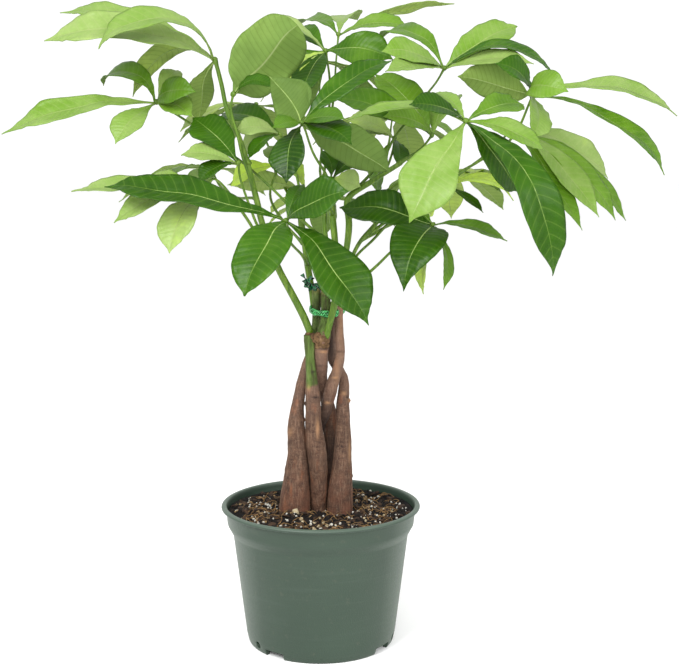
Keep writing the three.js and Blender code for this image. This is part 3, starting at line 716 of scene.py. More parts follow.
class Finish:
    """A material made of nodes. A socket takes a number, a colour or another node's output."""

    def __init__(self, name):
        self.material = bpy.data.materials.new(name)
        self.material.use_nodes = True
        self.tree = self.material.node_tree
        self.tree.nodes.clear()
        self.output = self.tree.nodes.new("ShaderNodeOutputMaterial")

    def add(self, kind, sockets=None, **settings):
        node = self.tree.nodes.new("ShaderNode" + kind)
        for name, value in settings.items():
            setattr(node, name, value)
        for name, value in (sockets or {}).items():
            if isinstance(value, bpy.types.NodeSocket):
                self.tree.links.new(value, node.inputs[name])
            else:
                node.inputs[name].default_value = value
        return node

    def place(self, scale=(1, 1, 1)):
        """Object coordinates in metres, scaled."""
        where = self.add("TexCoord").outputs["Object"]
        return self.add("Mapping", {"Vector": where, "Scale": scale}).outputs["Vector"]

    def attribute(self, name):
        """A number that the mesh carries at each vertex."""
        return self.add("Attribute", attribute_name=name).outputs["Fac"]

    def edge(self):
        """How far the surface turns from the viewer, from 0 to 1."""
        return self.add("LayerWeight", {"Blend": 0.5}).outputs["Facing"]

    def noise(self, vector, scale, detail=3, rough=0.5):
        sockets = {"Vector": vector, "Scale": scale, "Detail": detail, "Roughness": rough}
        return self.add("TexNoise", sockets).outputs["Fac"]

    def between(self, value, low, high, start=0, end=1):
        """The value's stretch from low to high laid on start to end, clamped."""
        sockets = {"Value": value, "From Min": low, "From Max": high, "To Min": start, "To Max": end}
        return self.add("MapRange", sockets).outputs["Result"]

    def math(self, operation, a, b=0.0):
        return self.add("Math", {0: a, 1: b}, operation=operation).outputs[0]

    def mix(self, share, a, b, blend="MIX"):
        sockets = {0: share, 6: a, 7: b}
        return self.add("Mix", sockets, data_type="RGBA", blend_type=blend).outputs[2]

    def ramp(self, value, *stops):
        node = self.add("ValToRGB", {"Fac": value})
        elements = node.color_ramp.elements
        while len(elements) < len(stops):
            elements.new(1)
        for element, (position, colour) in zip(elements, stops):
            element.position = position
            element.color = colour
        return node.outputs["Color"]

    def bump(self, height, depth, under=None):
        """A normal from a height of 0 to 1 that stands for depth in metres."""
        sockets = {"Height": height, "Distance": depth, "Strength": 1.0}
        if under:
            sockets["Normal"] = under
        return self.add("Bump", sockets).outputs["Normal"]

    def surface(self, colour, roughness, specular, normal=None):
        sockets = {"Base Color": colour, "Roughness": roughness, "Specular IOR Level": specular}
        if normal:
            sockets["Normal"] = normal
        return self.add("BsdfPrincipled", sockets).outputs["BSDF"]

    def done(self, shader):
        self.tree.links.new(shader, self.output.inputs["Surface"])
        return self.material


def pot_plastic():
    finish = Finish("grey_green_pot_plastic")
    where = finish.place()
    drift = finish.noise(where, 9, 2)
    speckle = finish.noise(where, 900, 2)
    flow = finish.noise(finish.place((6, 6, 90)), 3, 3)
    colour = finish.ramp(drift, (0.3, linear(52, 73, 57)), (0.7, linear(60, 82, 65)))
    colour = finish.mix(finish.between(flow, 0.55, 0.75, 0, 0.2), colour, linear(80, 99, 85))
    # Painted sheen: lighter where the surface turns from the viewer, as at the pot's sides.
    colour = finish.mix(finish.between(finish.edge(), 0.45, 0.95, 0, 0.75), colour, linear(118, 134, 119))
    dust = finish.between(finish.noise(where, 160, 4), 0.62, 0.72, 0, 0.15)
    colour = finish.mix(dust, colour, linear(112, 112, 94))
    # Painted highlight: the top of the lip is lighter.
    painted_lip_highlight = finish.math("MULTIPLY", finish.attribute("painted_lip_highlight"), 0.7)
    colour = finish.mix(painted_lip_highlight, colour, linear(112, 130, 116))
    # Painted shade: the inner side of the wall is darker.
    colour = finish.mix(finish.attribute("inside"), colour, linear(46, 70, 53))
    roughness = finish.between(speckle, 0.3, 0.7, 0.42, 0.55)
    normal = finish.bump(speckle, 0.00012, finish.bump(flow, 0.0002))
    return finish.done(finish.surface(colour, roughness, 0.4, normal))


def soil_earth():
    finish = Finish("dark_potting_soil")
    where = finish.place()
    crumbs = finish.noise(where, 420, 5, 0.7)
    patches = finish.noise(where, 90, 3)
    colour = finish.ramp(
        crumbs,
        (0.34, linear(8, 6, 5)), (0.52, linear(24, 17, 13)), (0.64, linear(56, 40, 28)),
        (0.76, linear(104, 80, 56)),
    )
    colour = finish.mix(finish.between(patches, 0.4, 0.65), colour, linear(30, 22, 17), "MULTIPLY")
    return finish.done(finish.surface(colour, 0.92, 0.25, finish.bump(crumbs, 0.0012)))


def plain_rough(name, dark, light, grain, roughness, depth):
    """A matte finish between two colours in a grain of that scale."""
    finish = Finish(name)
    pattern = finish.noise(finish.place(), grain, 4, 0.6)
    colour = finish.ramp(pattern, (0.3, linear(*dark)), (0.7, linear(*light)))
    return finish.done(finish.surface(colour, roughness, 0.3, finish.bump(pattern, depth)))


def trunk_bark():
    finish = Finish("brown_trunk_bark")
    where = finish.place()
    upright = finish.place((1, 1, 0.14))
    blotches = finish.noise(where, 105, 4, 0.6)
    fibres = finish.noise(upright, 700, 5, 0.7)
    streaks = finish.noise(upright, 330, 4, 0.6)
    rust = finish.noise(finish.place((1, 1, 0.3)), 150, 3)
    rings = finish.noise(finish.place((0.35, 0.35, 2.6)), 240, 4, 0.6)
    pores = finish.noise(where, 1500, 3, 0.6)
    height = finish.add("SeparateXYZ", {"Vector": where}).outputs["Z"]
    colour = finish.ramp(
        blotches,
        (0.3, linear(78, 53, 39)), (0.45, linear(93, 66, 50)), (0.58, linear(108, 78, 60)),
        (0.72, linear(128, 95, 73)),
    )
    # Each coat goes over the last: a pattern, its stretch, how strong the coat is at its ends, its colour
    for pattern, low, high, start, end, coat in (
        (rust, 0.57, 0.7, 0, 0.55, (160, 96, 60)),
        (streaks, 0.34, 0.5, 0.45, 0, (70, 49, 40)),
        (rings, 0.54, 0.66, 0, 0.55, (72, 51, 41)),
        (rings, 0.3, 0.42, 0.35, 0, (158, 124, 100)),
        (fibres, 0.5, 0.7, 0, 0.5, (182, 148, 122)),
        (height, 0.19, 0.25, 0, 0.45, (172, 136, 116)),
        (pores, 0.56, 0.66, 0, 0.45, (58, 40, 33)),
        (pores, 0.34, 0.42, 0.5, 0, (176, 140, 114)),
    ):
        colour = finish.mix(finish.between(pattern, low, high, start, end), colour, linear(*coat))
    red_patches = finish.between(blotches, 0.35, 0.65, 0, 0.6)
    reddened = finish.math("MULTIPLY", finish.attribute("base"), red_patches)
    colour = finish.mix(reddened, colour, linear(128, 68, 46))
    green_patches = finish.between(blotches, 0.35, 0.65, -0.3, 0.3)
    greened = finish.math("ADD", finish.attribute("fresh"), green_patches)
    green = finish.ramp(
        streaks,
        (0.34, linear(72, 74, 36)), (0.46, linear(84, 102, 42)), (0.57, linear(100, 126, 54)),
        (0.72, linear(134, 152, 84)),
    )
    colour = finish.mix(finish.between(greened, 0.4, 0.62), colour, green)
    # Painted highlight: tan at the trunks' edges, where the bark turns from the viewer.
    colour = finish.mix(finish.between(finish.edge(), 0.6, 0.95, 0, 0.45), colour, linear(176, 138, 108))
    shaded = finish.math("MULTIPLY", finish.attribute("shade"), 0.9)
    colour = finish.mix(shaded, colour, linear(34, 22, 20))
    scarred = finish.math("MULTIPLY", finish.attribute("scar"), 0.8)
    colour = finish.mix(scarred, colour, linear(206, 156, 112))
    normal = finish.bump(fibres, 0.0007, finish.bump(rings, 0.0006, finish.bump(streaks, 0.0006)))
    return finish.done(finish.surface(colour, 0.75, 0.25, normal))


def callus_wood():
    finish = Finish("rusty_callus_wood")
    lumps = finish.noise(finish.place(), 170, 4, 0.65)
    shreds = finish.noise(finish.place((1, 1, 0.35)), 700, 4, 0.6)
    colour = finish.ramp(
        lumps,
        (0.32, linear(72, 51, 35)), (0.46, linear(116, 88, 58)), (0.6, linear(150, 116, 82)),
        (0.72, linear(188, 154, 114)),
    )
    colour = finish.mix(finish.between(shreds, 0.35, 0.5, 0.7, 0), colour, linear(52, 34, 24))
    return finish.done(finish.surface(colour, 0.85, 0.2, finish.bump(shreds, 0.0008)))


def stem_skin():
    finish = Finish("green_stem_skin")
    streaks = finish.noise(finish.place((1, 1, 0.12)), 420, 4, 0.6)
    blotches = finish.noise(finish.place(), 38, 3)
    colour = finish.ramp(
        streaks, (0.32, linear(78, 116, 12)), (0.5, linear(98, 138, 24)), (0.68, linear(132, 166, 50)),
    )
    colour = finish.mix(finish.between(blotches, 0.5, 0.7, 0, 0.35), colour, linear(96, 118, 40))
    return finish.done(finish.surface(colour, 0.5, 0.3, finish.bump(streaks, 0.0004)))


def midrib_skin():
    """The pale midribs under the leaflets."""
    finish = Finish("pale_midrib_skin")
    streaks = finish.noise(finish.place(), 300, 3)
    colour = finish.ramp(streaks, (0.35, linear(150, 184, 88)), (0.65, linear(188, 212, 124)))
    return finish.done(finish.surface(colour, 0.5, 0.2))


def leaf_skin(name, is_upper):
    """Leaf colour by each leaflet's own green and painted light and shade, with a pale midrib and side
    veins that run with the blade's own map.
    """
    finish = Finish(name)
    where = finish.place()
    tone_and_painted_light = finish.attribute("tone_and_painted_light")
    unrolled = finish.add("SeparateXYZ", {"Vector": finish.add("UVMap", uv_map="UVMap").outputs["UV"]})
    along, side = unrolled.outputs["X"], unrolled.outputs["Y"]
    from_rib = finish.math("ABSOLUTE", finish.math("SUBTRACT", side, 0.5))
    cells = finish.math("FRACT", finish.math("ADD", finish.math("MULTIPLY", along, VEIN_PAIRS), 0.5))
    from_vein = finish.math("ABSOLUTE", finish.math("SUBTRACT", cells, 0.5))
    drift = finish.noise(where, 45, 3)
    fine = finish.noise(where, 420, 3, 0.6)
    puff = finish.between(from_vein, 0.05, 0.45)
    if is_upper:
        dark, green, light, pale = (28, 74, 1), (74, 134, 8), (152, 206, 62), (214, 246, 146)
        painted_backlight = (0.64, 0.86, 0.1, 1)
        vein, pale_vein, margin = linear(154, 196, 80), linear(232, 248, 166), linear(58, 104, 16)
        vein_share, depth = 0.26, 0.00011
        roughness, specular = finish.between(fine, 0.3, 0.7, 0.27, 0.37), 0.22
    else:
        dark, green, light, pale = (82, 120, 42), (120, 156, 74), (162, 200, 98), (204, 234, 124)
        painted_backlight = (0.64, 0.86, 0.12, 1)
        vein, pale_vein, margin = linear(202, 220, 140), linear(236, 250, 176), linear(92, 120, 50)
        vein_share, depth = 0.4, -0.00013
        roughness, specular = 0.55, 0.15
    # The veins turn paler with the tone, so they follow its painted light too.
    vein = finish.mix(finish.between(tone_and_painted_light, 0.35, 0.9), vein, pale_vein)
    side_vein = vein if is_upper else margin
    shade = finish.math("ADD", tone_and_painted_light, finish.between(drift, 0.3, 0.7, -0.08, 0.08))
    # The ramp runs from dark green to pale by the tone, which paints each leaflet as in shade or lit; its
    # last stop, brighter than the studio's light shows, is painted backlight.
    colour = finish.ramp(
        finish.math("MULTIPLY", shade, 0.8),
        (0.04, linear(*dark)), (0.28, linear(*green)), (0.52, linear(*light)), (0.76, linear(*pale)),
        (0.96, painted_backlight),
    )
    colour = finish.mix(finish.between(puff, 0, 1, 0.05, 0), colour, side_vein)
    colour = finish.mix(finish.between(fine, 0.35, 0.65, 0.1, 0), colour, margin)
    colour = finish.mix(finish.between(from_rib, 0.46, 0.5, 0, 0.2), colour, margin)
    colour = finish.mix(finish.between(from_vein, 0.02, 0.07, vein_share, 0), colour, side_vein)
    colour = finish.mix(finish.between(from_rib, 0.005, 0.017, 0.7, 0), colour, vein)
    relief = finish.math("ADD", finish.math("MULTIPLY", puff, 0.8), finish.math("MULTIPLY", fine, 0.2))
    skin = finish.surface(colour, roughness, specular, finish.bump(relief, depth))
    glow = finish.mix(0.5, colour, linear(196, 230, 60))
    through = finish.add("BsdfTranslucent", {"Color": glow}).outputs["BSDF"]
    return finish.done(finish.add("MixShader", {0: LEAF_GLOW, 1: skin, 2: through}).outputs[0])


def glossy_strip(name, dark, light, roughness):
    finish = Finish(name)
    creases_and_glints = finish.noise(finish.place((1, 1, 2.5)), 380, 3)
    # Between the dark and the pale colour by the creases: the pale end is painted glints, and the dark end
    # is partly painted shade in the creases.
    colour = finish.ramp(creases_and_glints, (0.42, linear(*dark)), (0.58, linear(*light)))
    normal = finish.bump(creases_and_glints, 0.0006, finish.bump(finish.noise(finish.place(), 1500, 2), 0.0001))
    return finish.done(finish.surface(colour, roughness, 0.5, normal))


# Pot

def outward(angle):
    """The direction from the pot's axis that is turned by angle degrees from the front, and its turn."""
    turn = math.radians(angle)
    return Vector((math.sin(turn), -math.cos(turn), 0)), turn


def notch_cutter(angle):
    """A block through the ring foot."""
    away, turn = outward(angle)
    at = AXIS + away * (FOOT_RADIUS + 2) * MM
    bpy.ops.mesh.primitive_cube_add(size=1, location=at, rotation=(0, 0, turn))
    cutter = bpy.context.object
    cutter.scale = (NOTCH_WIDTH * MM, 24 * MM, (2 * NOTCH_HEIGHT - 0.4) * MM)
    return cutter


def drain_cutter(angle):
    """A rod through the wall's lower corner."""
    away, turn = outward(angle)
    at = AXIS + away * BODY_FOOT_RADIUS * MM + Vector((0, 0, DRAIN_HEIGHT * MM))
    bpy.ops.mesh.primitive_cylinder_add(
        vertices=20, radius=DRAIN_RADIUS * MM, depth=12 * MM, location=at, rotation=(math.pi / 2, 0, turn),
    )
    return bpy.context.object


def outer_radius(outside, height):
    """The wall's outer radius at a height, from its (radius, height) points."""
    steps = zip(outside, outside[1:])
    low, high = next((step for step in steps if height <= step[1][1]), outside[-2:])
    return low[0] + (high[0] - low[0]) * between(height, low[1], high[1])


def pot():
    shoulder, band, lip = POT_HEIGHT - 24, POT_HEIGHT - 18, POT_HEIGHT - 2.6
    grow = (BODY_TOP_RADIUS - BODY_FOOT_RADIUS) / (shoulder - 8)
    lip_edge = (LIP_RADIUS - 1.2, lip - 0.5)
    profile = [
        (FOOT_RADIUS - 4, NOTCH_HEIGHT),
        (FOOT_RADIUS - 3, 0),
        (FOOT_RADIUS, 0),
        (FOOT_RADIUS + 1.1, 1),
        (FOOT_RADIUS + 1.8, 3),
        (BODY_FOOT_RADIUS - 0.6, 6),
        (BODY_FOOT_RADIUS, 8.6),
        (BODY_FOOT_RADIUS + grow * 3, 11.6),
        (BODY_FOOT_RADIUS + grow * 8, 16.6),
        (BODY_TOP_RADIUS - 0.2, shoulder - 1),
        (BODY_TOP_RADIUS + 0.2, shoulder),
        (BODY_TOP_RADIUS + 1.3, shoulder + 1.6),
        (BAND_RADIUS - 2.9, band - 0.8),
        (BAND_RADIUS - 1.9, band + 1),
        (BAND_RADIUS - 1.4, band + 3),
        (BAND_RADIUS - 0.4, lip - 1.2),
        lip_edge,
        (LIP_RADIUS - 0.2, lip),
        (LIP_RADIUS, lip + 0.8),
        (LIP_RADIUS - 0.5, lip + 1.8),
        (LIP_RADIUS - 1.6, POT_HEIGHT - 0.2),
        (BAND_RADIUS + 0.8, POT_HEIGHT),
        (BAND_RADIUS - 0.4, POT_HEIGHT - 0.4),
        (BAND_RADIUS - 0.9, POT_HEIGHT - 1.4),
        (BAND_RADIUS - WALL, lip - 1),
        (BAND_RADIUS - 1.5 - WALL, band + 0.6),
        (BODY_TOP_RADIUS - WALL, shoulder + 0.6),
        (BODY_FOOT_RADIUS - WALL, FOOT_TURN),
        (FOOT_RADIUS, NOTCH_HEIGHT + WALL),
    ]
    shell = stepped("nursery_pot", profile, POT_SIDES)
    cutter = joined("cutter", [*map(notch_cutter, NOTCH_ANGLES), *map(drain_cutter, DRAIN_ANGLES)])
    modified(shell, "BOOLEAN", object=cutter, operation="DIFFERENCE", solver="EXACT")
    bpy.data.objects.remove(cutter)
    modified(shell, "BEVEL", width=0.3 * MM, segments=2, limit_method="ANGLE", angle_limit=math.radians(32))
    alone(shell)
    bpy.ops.object.shade_smooth_by_angle(angle=math.radians(40))
    outside = profile[2:profile.index(lip_edge)]
    inside, painted_lip_highlight = [], []
    # Which vertices carry the painted shade inside the wall and the painted highlight on the lip
    for vertex in shell.data.vertices:
        reach, height = (vertex.co.xy - AXIS.xy).length / MM, vertex.co.z / MM
        wall = min(outer_radius(outside, height), BAND_RADIUS) - INSIDE_DEPTH
        inside.append(1.0 if reach < wall and height > FOOT_TURN else 0.0)
        painted_lip_highlight.append(between(height, POT_HEIGHT - 1.6, POT_HEIGHT - 0.4))
    valued(shell, "inside", inside)
    valued(shell, "painted_lip_highlight", painted_lip_highlight)
    shell.data.materials.append(pot_plastic())
    return finished(shell, "pot", "pot")


# Soil

def soil():
    clear = WALL + 0.4
    top = BAND_RADIUS - 0.9 - clear
    ground = stepped(
        "potting_soil",
        [
            (FOOT_RADIUS - 0.3, NOTCH_HEIGHT + clear), (BODY_FOOT_RADIUS - clear, 9.8),
            (BODY_TOP_RADIUS - clear, POT_HEIGHT - 23), (BAND_RADIUS - 1.5 - clear, POT_HEIGHT - 17),
            (top, SOIL_LEVEL),
        ],
        SOIL_SIDES,
    )
    alone(ground)
    bpy.ops.object.mode_set(mode="EDIT")
    pick(lambda co: co.z > (SOIL_LEVEL - 1) * MM)
    for _ in range(SOIL_RINGS):
        bpy.ops.mesh.inset(thickness=RING_STEP * MM)
    bpy.ops.mesh.poke()
    bpy.ops.object.mode_set(mode="OBJECT")
    surface, banks = [], []
    for vertex in ground.data.vertices:
        if vertex.co.z <= (SOIL_LEVEL - 1) * MM:
            surface.append(0)
            banks.append(0)
            continue
        off = (vertex.co - AXIS).xy / MM
        surface.append(between(top - off.length, 0, 4))
        mound = 0.8 * math.exp(-(off.length / 38) ** 2)
        sides = 0.9 * (off.x / BAND_RADIUS) ** 2
        heap = 1.6 * math.exp(-((off.x + 22) ** 2 + (off.y + 25) ** 2) / 160)
        banks.append((mound + sides + heap) / BANK_TOTAL)
    weighted(ground, "surface", surface)
    weighted(ground, "banks", banks)
    rise = BANK_TOTAL * SOIL_RISE * MM
    modified(ground, "DISPLACE", strength=rise, mid_level=0, direction="Z", vertex_group="banks")
    for name, size, strength in SOIL_CLOUDS:
        modified(
            ground, "DISPLACE", texture=clouds(name, size), texture_coords="GLOBAL", strength=strength,
            mid_level=0.5, direction="Z", vertex_group="surface",
        )
    bpy.ops.object.shade_smooth()
    ground.data.materials.append(soil_earth())
    return finished(ground, "soil", "soil")


def over_soil(draw, spread):
    """A random place over the soil, within spread millimetres of the pot's axis."""
    angle = draw.uniform(0, 2 * math.pi)
    reach = spread * MM * math.sqrt(draw.random())
    return AXIS + Vector((math.cos(angle) * reach, math.sin(angle) * reach, DROP_HEIGHT))


def landed(ground, start, ahead=Vector((0, 0, -1))):
    """Where a bit that sets out in a direction meets the soil, or None."""
    hit, place, _, _ = ground.ray_cast(start, ahead)
    return place if hit else None


def turned(*angles):
    return Euler(angles).to_matrix().to_4x4()


def strewn(name, bits, models, material, crease):
    """The bits as one piece of the soil. The models that they copy are removed."""
    for model in models:
        bpy.data.objects.remove(model)
    piece = joined(name, bits)
    bpy.ops.object.shade_smooth_by_angle(angle=math.radians(crease))
    piece.data.materials.append(material)
    return finished(piece, "soil")


def scatter(name, models, count, sizes, material, ground, sink, flat, seed):
    """Bits of the models at random on the soil, clear of the trunks, each sunk by a share of its size."""
    draw = random.Random(seed)
    feet = [(seen(*path[1][:3]), path[1][3] * MM) for path in TRUNKS.values()]
    bits = []
    while len(bits) < count:
        start = over_soil(draw, BIT_SPREAD)
        size = draw.uniform(*sizes) * MM
        if any((start.xy - foot.xy).length < radius + size * 0.3 for foot, radius in feet):
            continue
        place = landed(ground, start)
        if place is None:
            continue
        tilt = turned(draw.gauss(0, 0.35), draw.gauss(0, 0.35), draw.uniform(0, 6.3))
        width, height = size * draw.uniform(0.6, 1), size * flat * draw.uniform(0.7, 1.2)
        scale = Matrix.Diagonal((size, width, height, 1))
        lift = Matrix.Translation(place + Vector((0, 0, size * flat * (0.5 - sink))))
        bits.append(copied(draw.choice(models), lift @ tilt @ scale))
    return strewn(name, bits, models, material, 35)


def placed(name, models, plan, material, ground):
    """Single bits where the front view shows them on the soil."""
    draw = random.Random(6)
    bits = []
    for across, up, size in plan:
        start = seen(across, up, 100)
        place = landed(ground, start, (start - EYE).normalized())
        if place is None:
            continue
        turn = turned(*(draw.uniform(0, 6.3) for _ in range(3)))
        scale = Matrix.Diagonal((size * MM, size * 0.8 * MM, size * 0.7 * MM, 1))
        bits.append(copied(draw.choice(models), Matrix.Translation(place) @ turn @ scale))
    return strewn(name, bits, models, material, 40)


def grain_models(prefix, count, lumpiness, fineness):
    """Unit lumps, each a ball knocked out of round."""
    models = []
    for k in range(count):
        bpy.ops.object.select_all(action="DESELECT")
        bpy.ops.mesh.primitive_ico_sphere_add(subdivisions=fineness, radius=0.5, location=(k, 0, 0))
        lump = bpy.context.object
        bpy.ops.object.transform_apply(location=True)
        roughened(lump, f"{prefix}_{k}", 0.45, lumpiness, depth=1)
        bpy.ops.object.mode_set(mode="EDIT")
        bpy.ops.mesh.select_all(action="SELECT")
        bpy.ops.transform.translate(value=(-k, 0, 0))
        bpy.ops.object.mode_set(mode="OBJECT")
        models.append(lump)
    return models


def chip_models(count):
    """Unit slivers of bark: a slab with its ends drawn in and its sides broken."""
    models = []
    for k in range(count):
        bpy.ops.object.select_all(action="DESELECT")
        bpy.ops.mesh.primitive_cube_add(size=1)
        chip = bpy.context.object
        bpy.ops.object.mode_set(mode="EDIT")
        bpy.ops.mesh.select_all(action="SELECT")
        bpy.ops.mesh.subdivide(number_cuts=2, fractal=0.6, seed=k + 3)
        pick(lambda co: co.x > 0.45)
        bpy.ops.transform.resize(value=(1, 0.45, 0.5), center_override=(0.5, 0.1, 0))
        pick(lambda co: co.x < -0.45)
        bpy.ops.transform.resize(value=(1, 0.6, 0.5), center_override=(-0.5, -0.1, 0))
        bpy.ops.object.mode_set(mode="OBJECT")
        models.append(chip)
    return models


def soil_fibres(ground):
    """Thin curled tan fibres on the soil."""
    draw = random.Random(9)
    strands = []
    while len(strands) < FIBRE_COUNT:
        start = over_soil(draw, FIBRE_SPREAD)
        heading = draw.uniform(0, 6.3)
        curl = draw.gauss(0, 90)
        length = draw.uniform(4, 15) * MM
        thickness = draw.uniform(0.16, 0.42)
        strand = []
        for k in range(FIBRE_STEPS + 1):
            share = k / FIBRE_STEPS
            turn = heading + curl * share * length * 1.6
            place = start + Vector((math.cos(turn), math.sin(turn), 0)) * length * share
            if (place.xy - AXIS.xy).length > BIT_SPREAD * MM:
                break
            spot = landed(ground, place)
            if spot is None:
                break
            lift = 0.5 + 2.2 * math.sin(math.pi * share)
            strand.append((spot + Vector((0, 0, lift * MM)), thickness * (1 - 0.4 * share)))
        if len(strand) > FIBRE_STEPS:
            strands.append(strand)
    fibres = tubes("soil_fibres", strands, 4)
    fibres.data.materials.append(plain_rough("tan_fibres", (104, 72, 38), (190, 150, 96), 120, 0.8, 0.0002))
    return finished(fibres, "soil")


def soil_bits(ground):
    perlite = plain_rough("white_perlite", (206, 200, 184), (250, 248, 238), 900, 0.85, 0.0003)
    cream = plain_rough("cream_perlite", (170, 150, 112), (232, 216, 180), 700, 0.85, 0.0003)
    bark_bits = plain_rough("brown_bark_bits", (28, 19, 13), (90, 64, 42), 260, 0.85, 0.0004)
    pale_bits = plain_rough("tan_wood_bits", (128, 98, 62), (196, 166, 120), 600, 0.8, 0.0003)
    peat = plain_rough("black_peat_crumbs", (10, 7, 6), (36, 26, 20), 300, 0.95, 0.0005)
    crumbs = grain_models("crumb", 3, 0.5, 1)
    scatter("soil_crumbs", crumbs, 1100, (1, 4), peat, ground, sink=0.3, flat=0.8, seed=2)
    scatter("bark_bits", chip_models(3), 380, (2, 7), bark_bits, ground, sink=0.3, flat=0.3, seed=3)
    scatter("wood_bits", chip_models(2), 150, (1.4, 4.5), pale_bits, ground, sink=0.25, flat=0.3, seed=4)
    grains = grain_models("perlite", 3, 0.35, 2)
    scatter("perlite_grains", grains, 230, (0.9, 2.8), perlite, ground, sink=0.25, flat=1, seed=5)
    placed("cream_grains", grain_models("cream", 3, 0.4, 3), CREAM_GRAINS, cream, ground)
    soil_fibres(ground)


# Trunks

def trunk(name, bark):
    rows = [(seen(*row[:3]), row[3]) for row in TRUNKS[name]]
    piece = tubes(name.replace("trunk_", "") + "_trunk", [smooth(rows, 16)], 48)
    roughened(piece, name + "_swell", 0.03, 0.9 * MM, depth=0)
    furrowed(piece, name + "_furrows", 0.0035, 0.7 * MM, 4)
    roughened(piece, name + "_knots", 0.007, 0.8 * MM, depth=2)
    mesh = piece.data
    views = [shown(vertex.co) for vertex in mesh.vertices]
    fronts = [(EYE - vertex.co).dot(vertex.normal) > 0 for vertex in mesh.vertices]
    raised, sunk = [0.0] * len(views), [0.0] * len(views)
    shade, scar = [0.0] * len(views), [0.0] * len(views)
    for across, up, half_width, half_height, lift, tone_and_painted_light in BARK_MARKS[name]:
        for index, (is_front, (x, y)) in enumerate(zip(fronts, views)):
            off = ((x - across) / half_width) ** 2 + ((y - up) / half_height) ** 2
            if is_front and off < 6:
                share = math.exp(-off)
                raised[index] += max(0, lift) / MARK_DEPTH * share
                sunk[index] += max(0, -lift) / MARK_DEPTH * share
                shade[index] = min(1, shade[index] + max(0, -tone_and_painted_light) * share)
                scar[index] = min(1, scar[index] + max(0, tone_and_painted_light) * share)
    weighted(piece, "raised", raised)
    weighted(piece, "sunk", sunk)
    modified(piece, "DISPLACE", strength=MARK_DEPTH * MM, mid_level=0, vertex_group="raised")
    modified(piece, "DISPLACE", strength=-MARK_DEPTH * MM, mid_level=0, vertex_group="sunk")
    piece.vertex_groups.clear()
    bpy.ops.object.shade_smooth()
    greening, redness = TRUNK_BARK[name]
    heights = [up for _, up in views]
    if name in TRUNK_SHADE:
        strength, low, high = TRUNK_SHADE[name]
        shade = [max(mark, strength * (1 - between(up, low, high))) for mark, up in zip(shade, heights)]
    valued(piece, "shade", shade)
    valued(piece, "scar", scar)
    fresh = [0.0] * len(views)
    if greening:
        fresh = [between(up, greening - GREEN_FADE, greening + GREEN_FADE) for up in heights]
    valued(piece, "fresh", fresh)
    valued(piece, "base", [redness * (1 - between(up, *RED_FADE)) for up in heights])
    mesh.materials.append(bark)
    return finished(piece, "bark", name)


def callus():
    """The lumpy callus in which the cut stems have grown together."""
    lumps = []
    for across, up, toward, radius in CALLUS:
        bpy.ops.object.select_all(action="DESELECT")
        at = seen(across, up, toward)
        bpy.ops.mesh.primitive_ico_sphere_add(subdivisions=3, radius=radius * MM, location=at)
        lumps.append(bpy.context.object)
    piece = joined("graft_callus", lumps)
    modified(piece, "REMESH", mode="VOXEL", voxel_size=0.5 * MM)
    modified(piece, "SMOOTH", factor=0.8, iterations=6)
    furrowed(piece, "callus_shreds", 0.002, 1.3 * MM, 2.5)
    roughened(piece, "callus_lumps", 0.004, 1.6 * MM, depth=2)
    bpy.ops.object.shade_smooth()
    piece.data.materials.append(callus_wood())
    return finished(piece, "bark")


# Leaves

def outline_shares(outline, count):
    """The blade's half-width share at count + 1 even steps along it."""
    curve = smooth([(Vector((along, share, 0)), 0) for along, share in outline], 12)
    shares = []
    for k in range(count + 1):
        along = k / count
        after = next((i for i, (place, _) in enumerate(curve) if place.x >= along - 1e-6), len(curve) - 1)
        before = max(after - 1, 0)
        (a, _), (b, _) = curve[before], curve[after]
        share = 0 if b.x == a.x else (along - a.x) / (b.x - a.x)
        shares.append(a.y + (b.y - a.y) * share)
    return shares


def sweep(away):
    """How far a side vein has run to the tip at a distance from the midrib, in a blade of size 1."""
    return VEIN_SWEEP * away + VEIN_CURVE * away ** 2


def blade_model(name, outline, wave_seed):
    """A unit leaflet: length along X, width along Z, upper side to -Y. Its rows run with the side veins."""
    bpy.ops.object.select_all(action="DESELECT")
    bpy.ops.mesh.primitive_grid_add(x_subdivisions=BLADE_ROWS, y_subdivisions=BLADE_COLUMNS, size=1)
    blade = bpy.context.object
    blade.name = name
    bpy.ops.object.mode_set(mode="EDIT")
    for step in range(1, BLADE_COLUMNS // 2 + 1):
        away = step / BLADE_COLUMNS
        pick(lambda co: abs(abs(co.y) - away) < 0.001)
        rise = BLADE_FOLD * away + FOLD_CURVE * away * (0.5 - away)
        bpy.ops.transform.translate(value=(sweep(away), 0, rise))
    bpy.ops.object.mode_set(mode="OBJECT")
    shares = outline_shares(outline, BLADE_ROWS)
    margins = []
    for vertex in blade.data.vertices:
        away = abs(vertex.co.y)
        margins.append(min(1, away * 2) ** 2)
        along = vertex.co.x - sweep(away) + 0.5
        row = round(along * BLADE_ROWS)
        centre = row / BLADE_ROWS - 0.5
        if away > 0.001:
            vertex.co.z -= PUCKER * math.cos(2 * math.pi * VEIN_PAIRS * along)
        x, y, z = vertex.co
        share = shares[row]
        vertex.co = (centre + (x - centre) * share, y * share, z * share)
        if away < 0.001:
            vertex.co.z -= RIB_GROOVE * share
    margin = blade.vertex_groups.new(name="margin")
    for index, weight in enumerate(margins):
        margin.add([index], weight, "REPLACE")
    blade.location = (3 * wave_seed, 0, 0)
    modified(
        blade, "DISPLACE", texture=clouds(f"margin_{wave_seed}", 0.16, depth=1), texture_coords="GLOBAL",
        strength=0.12, mid_level=0.5, direction="Z", vertex_group="margin",
    )
    blade.vertex_groups.clear()
    blade.location = (0, 0, 0)
    blade.rotation_euler = (math.pi / 2, 0, 0)
    bpy.ops.object.transform_apply(location=True, rotation=True)
    bpy.ops.object.shade_smooth()
    return blade


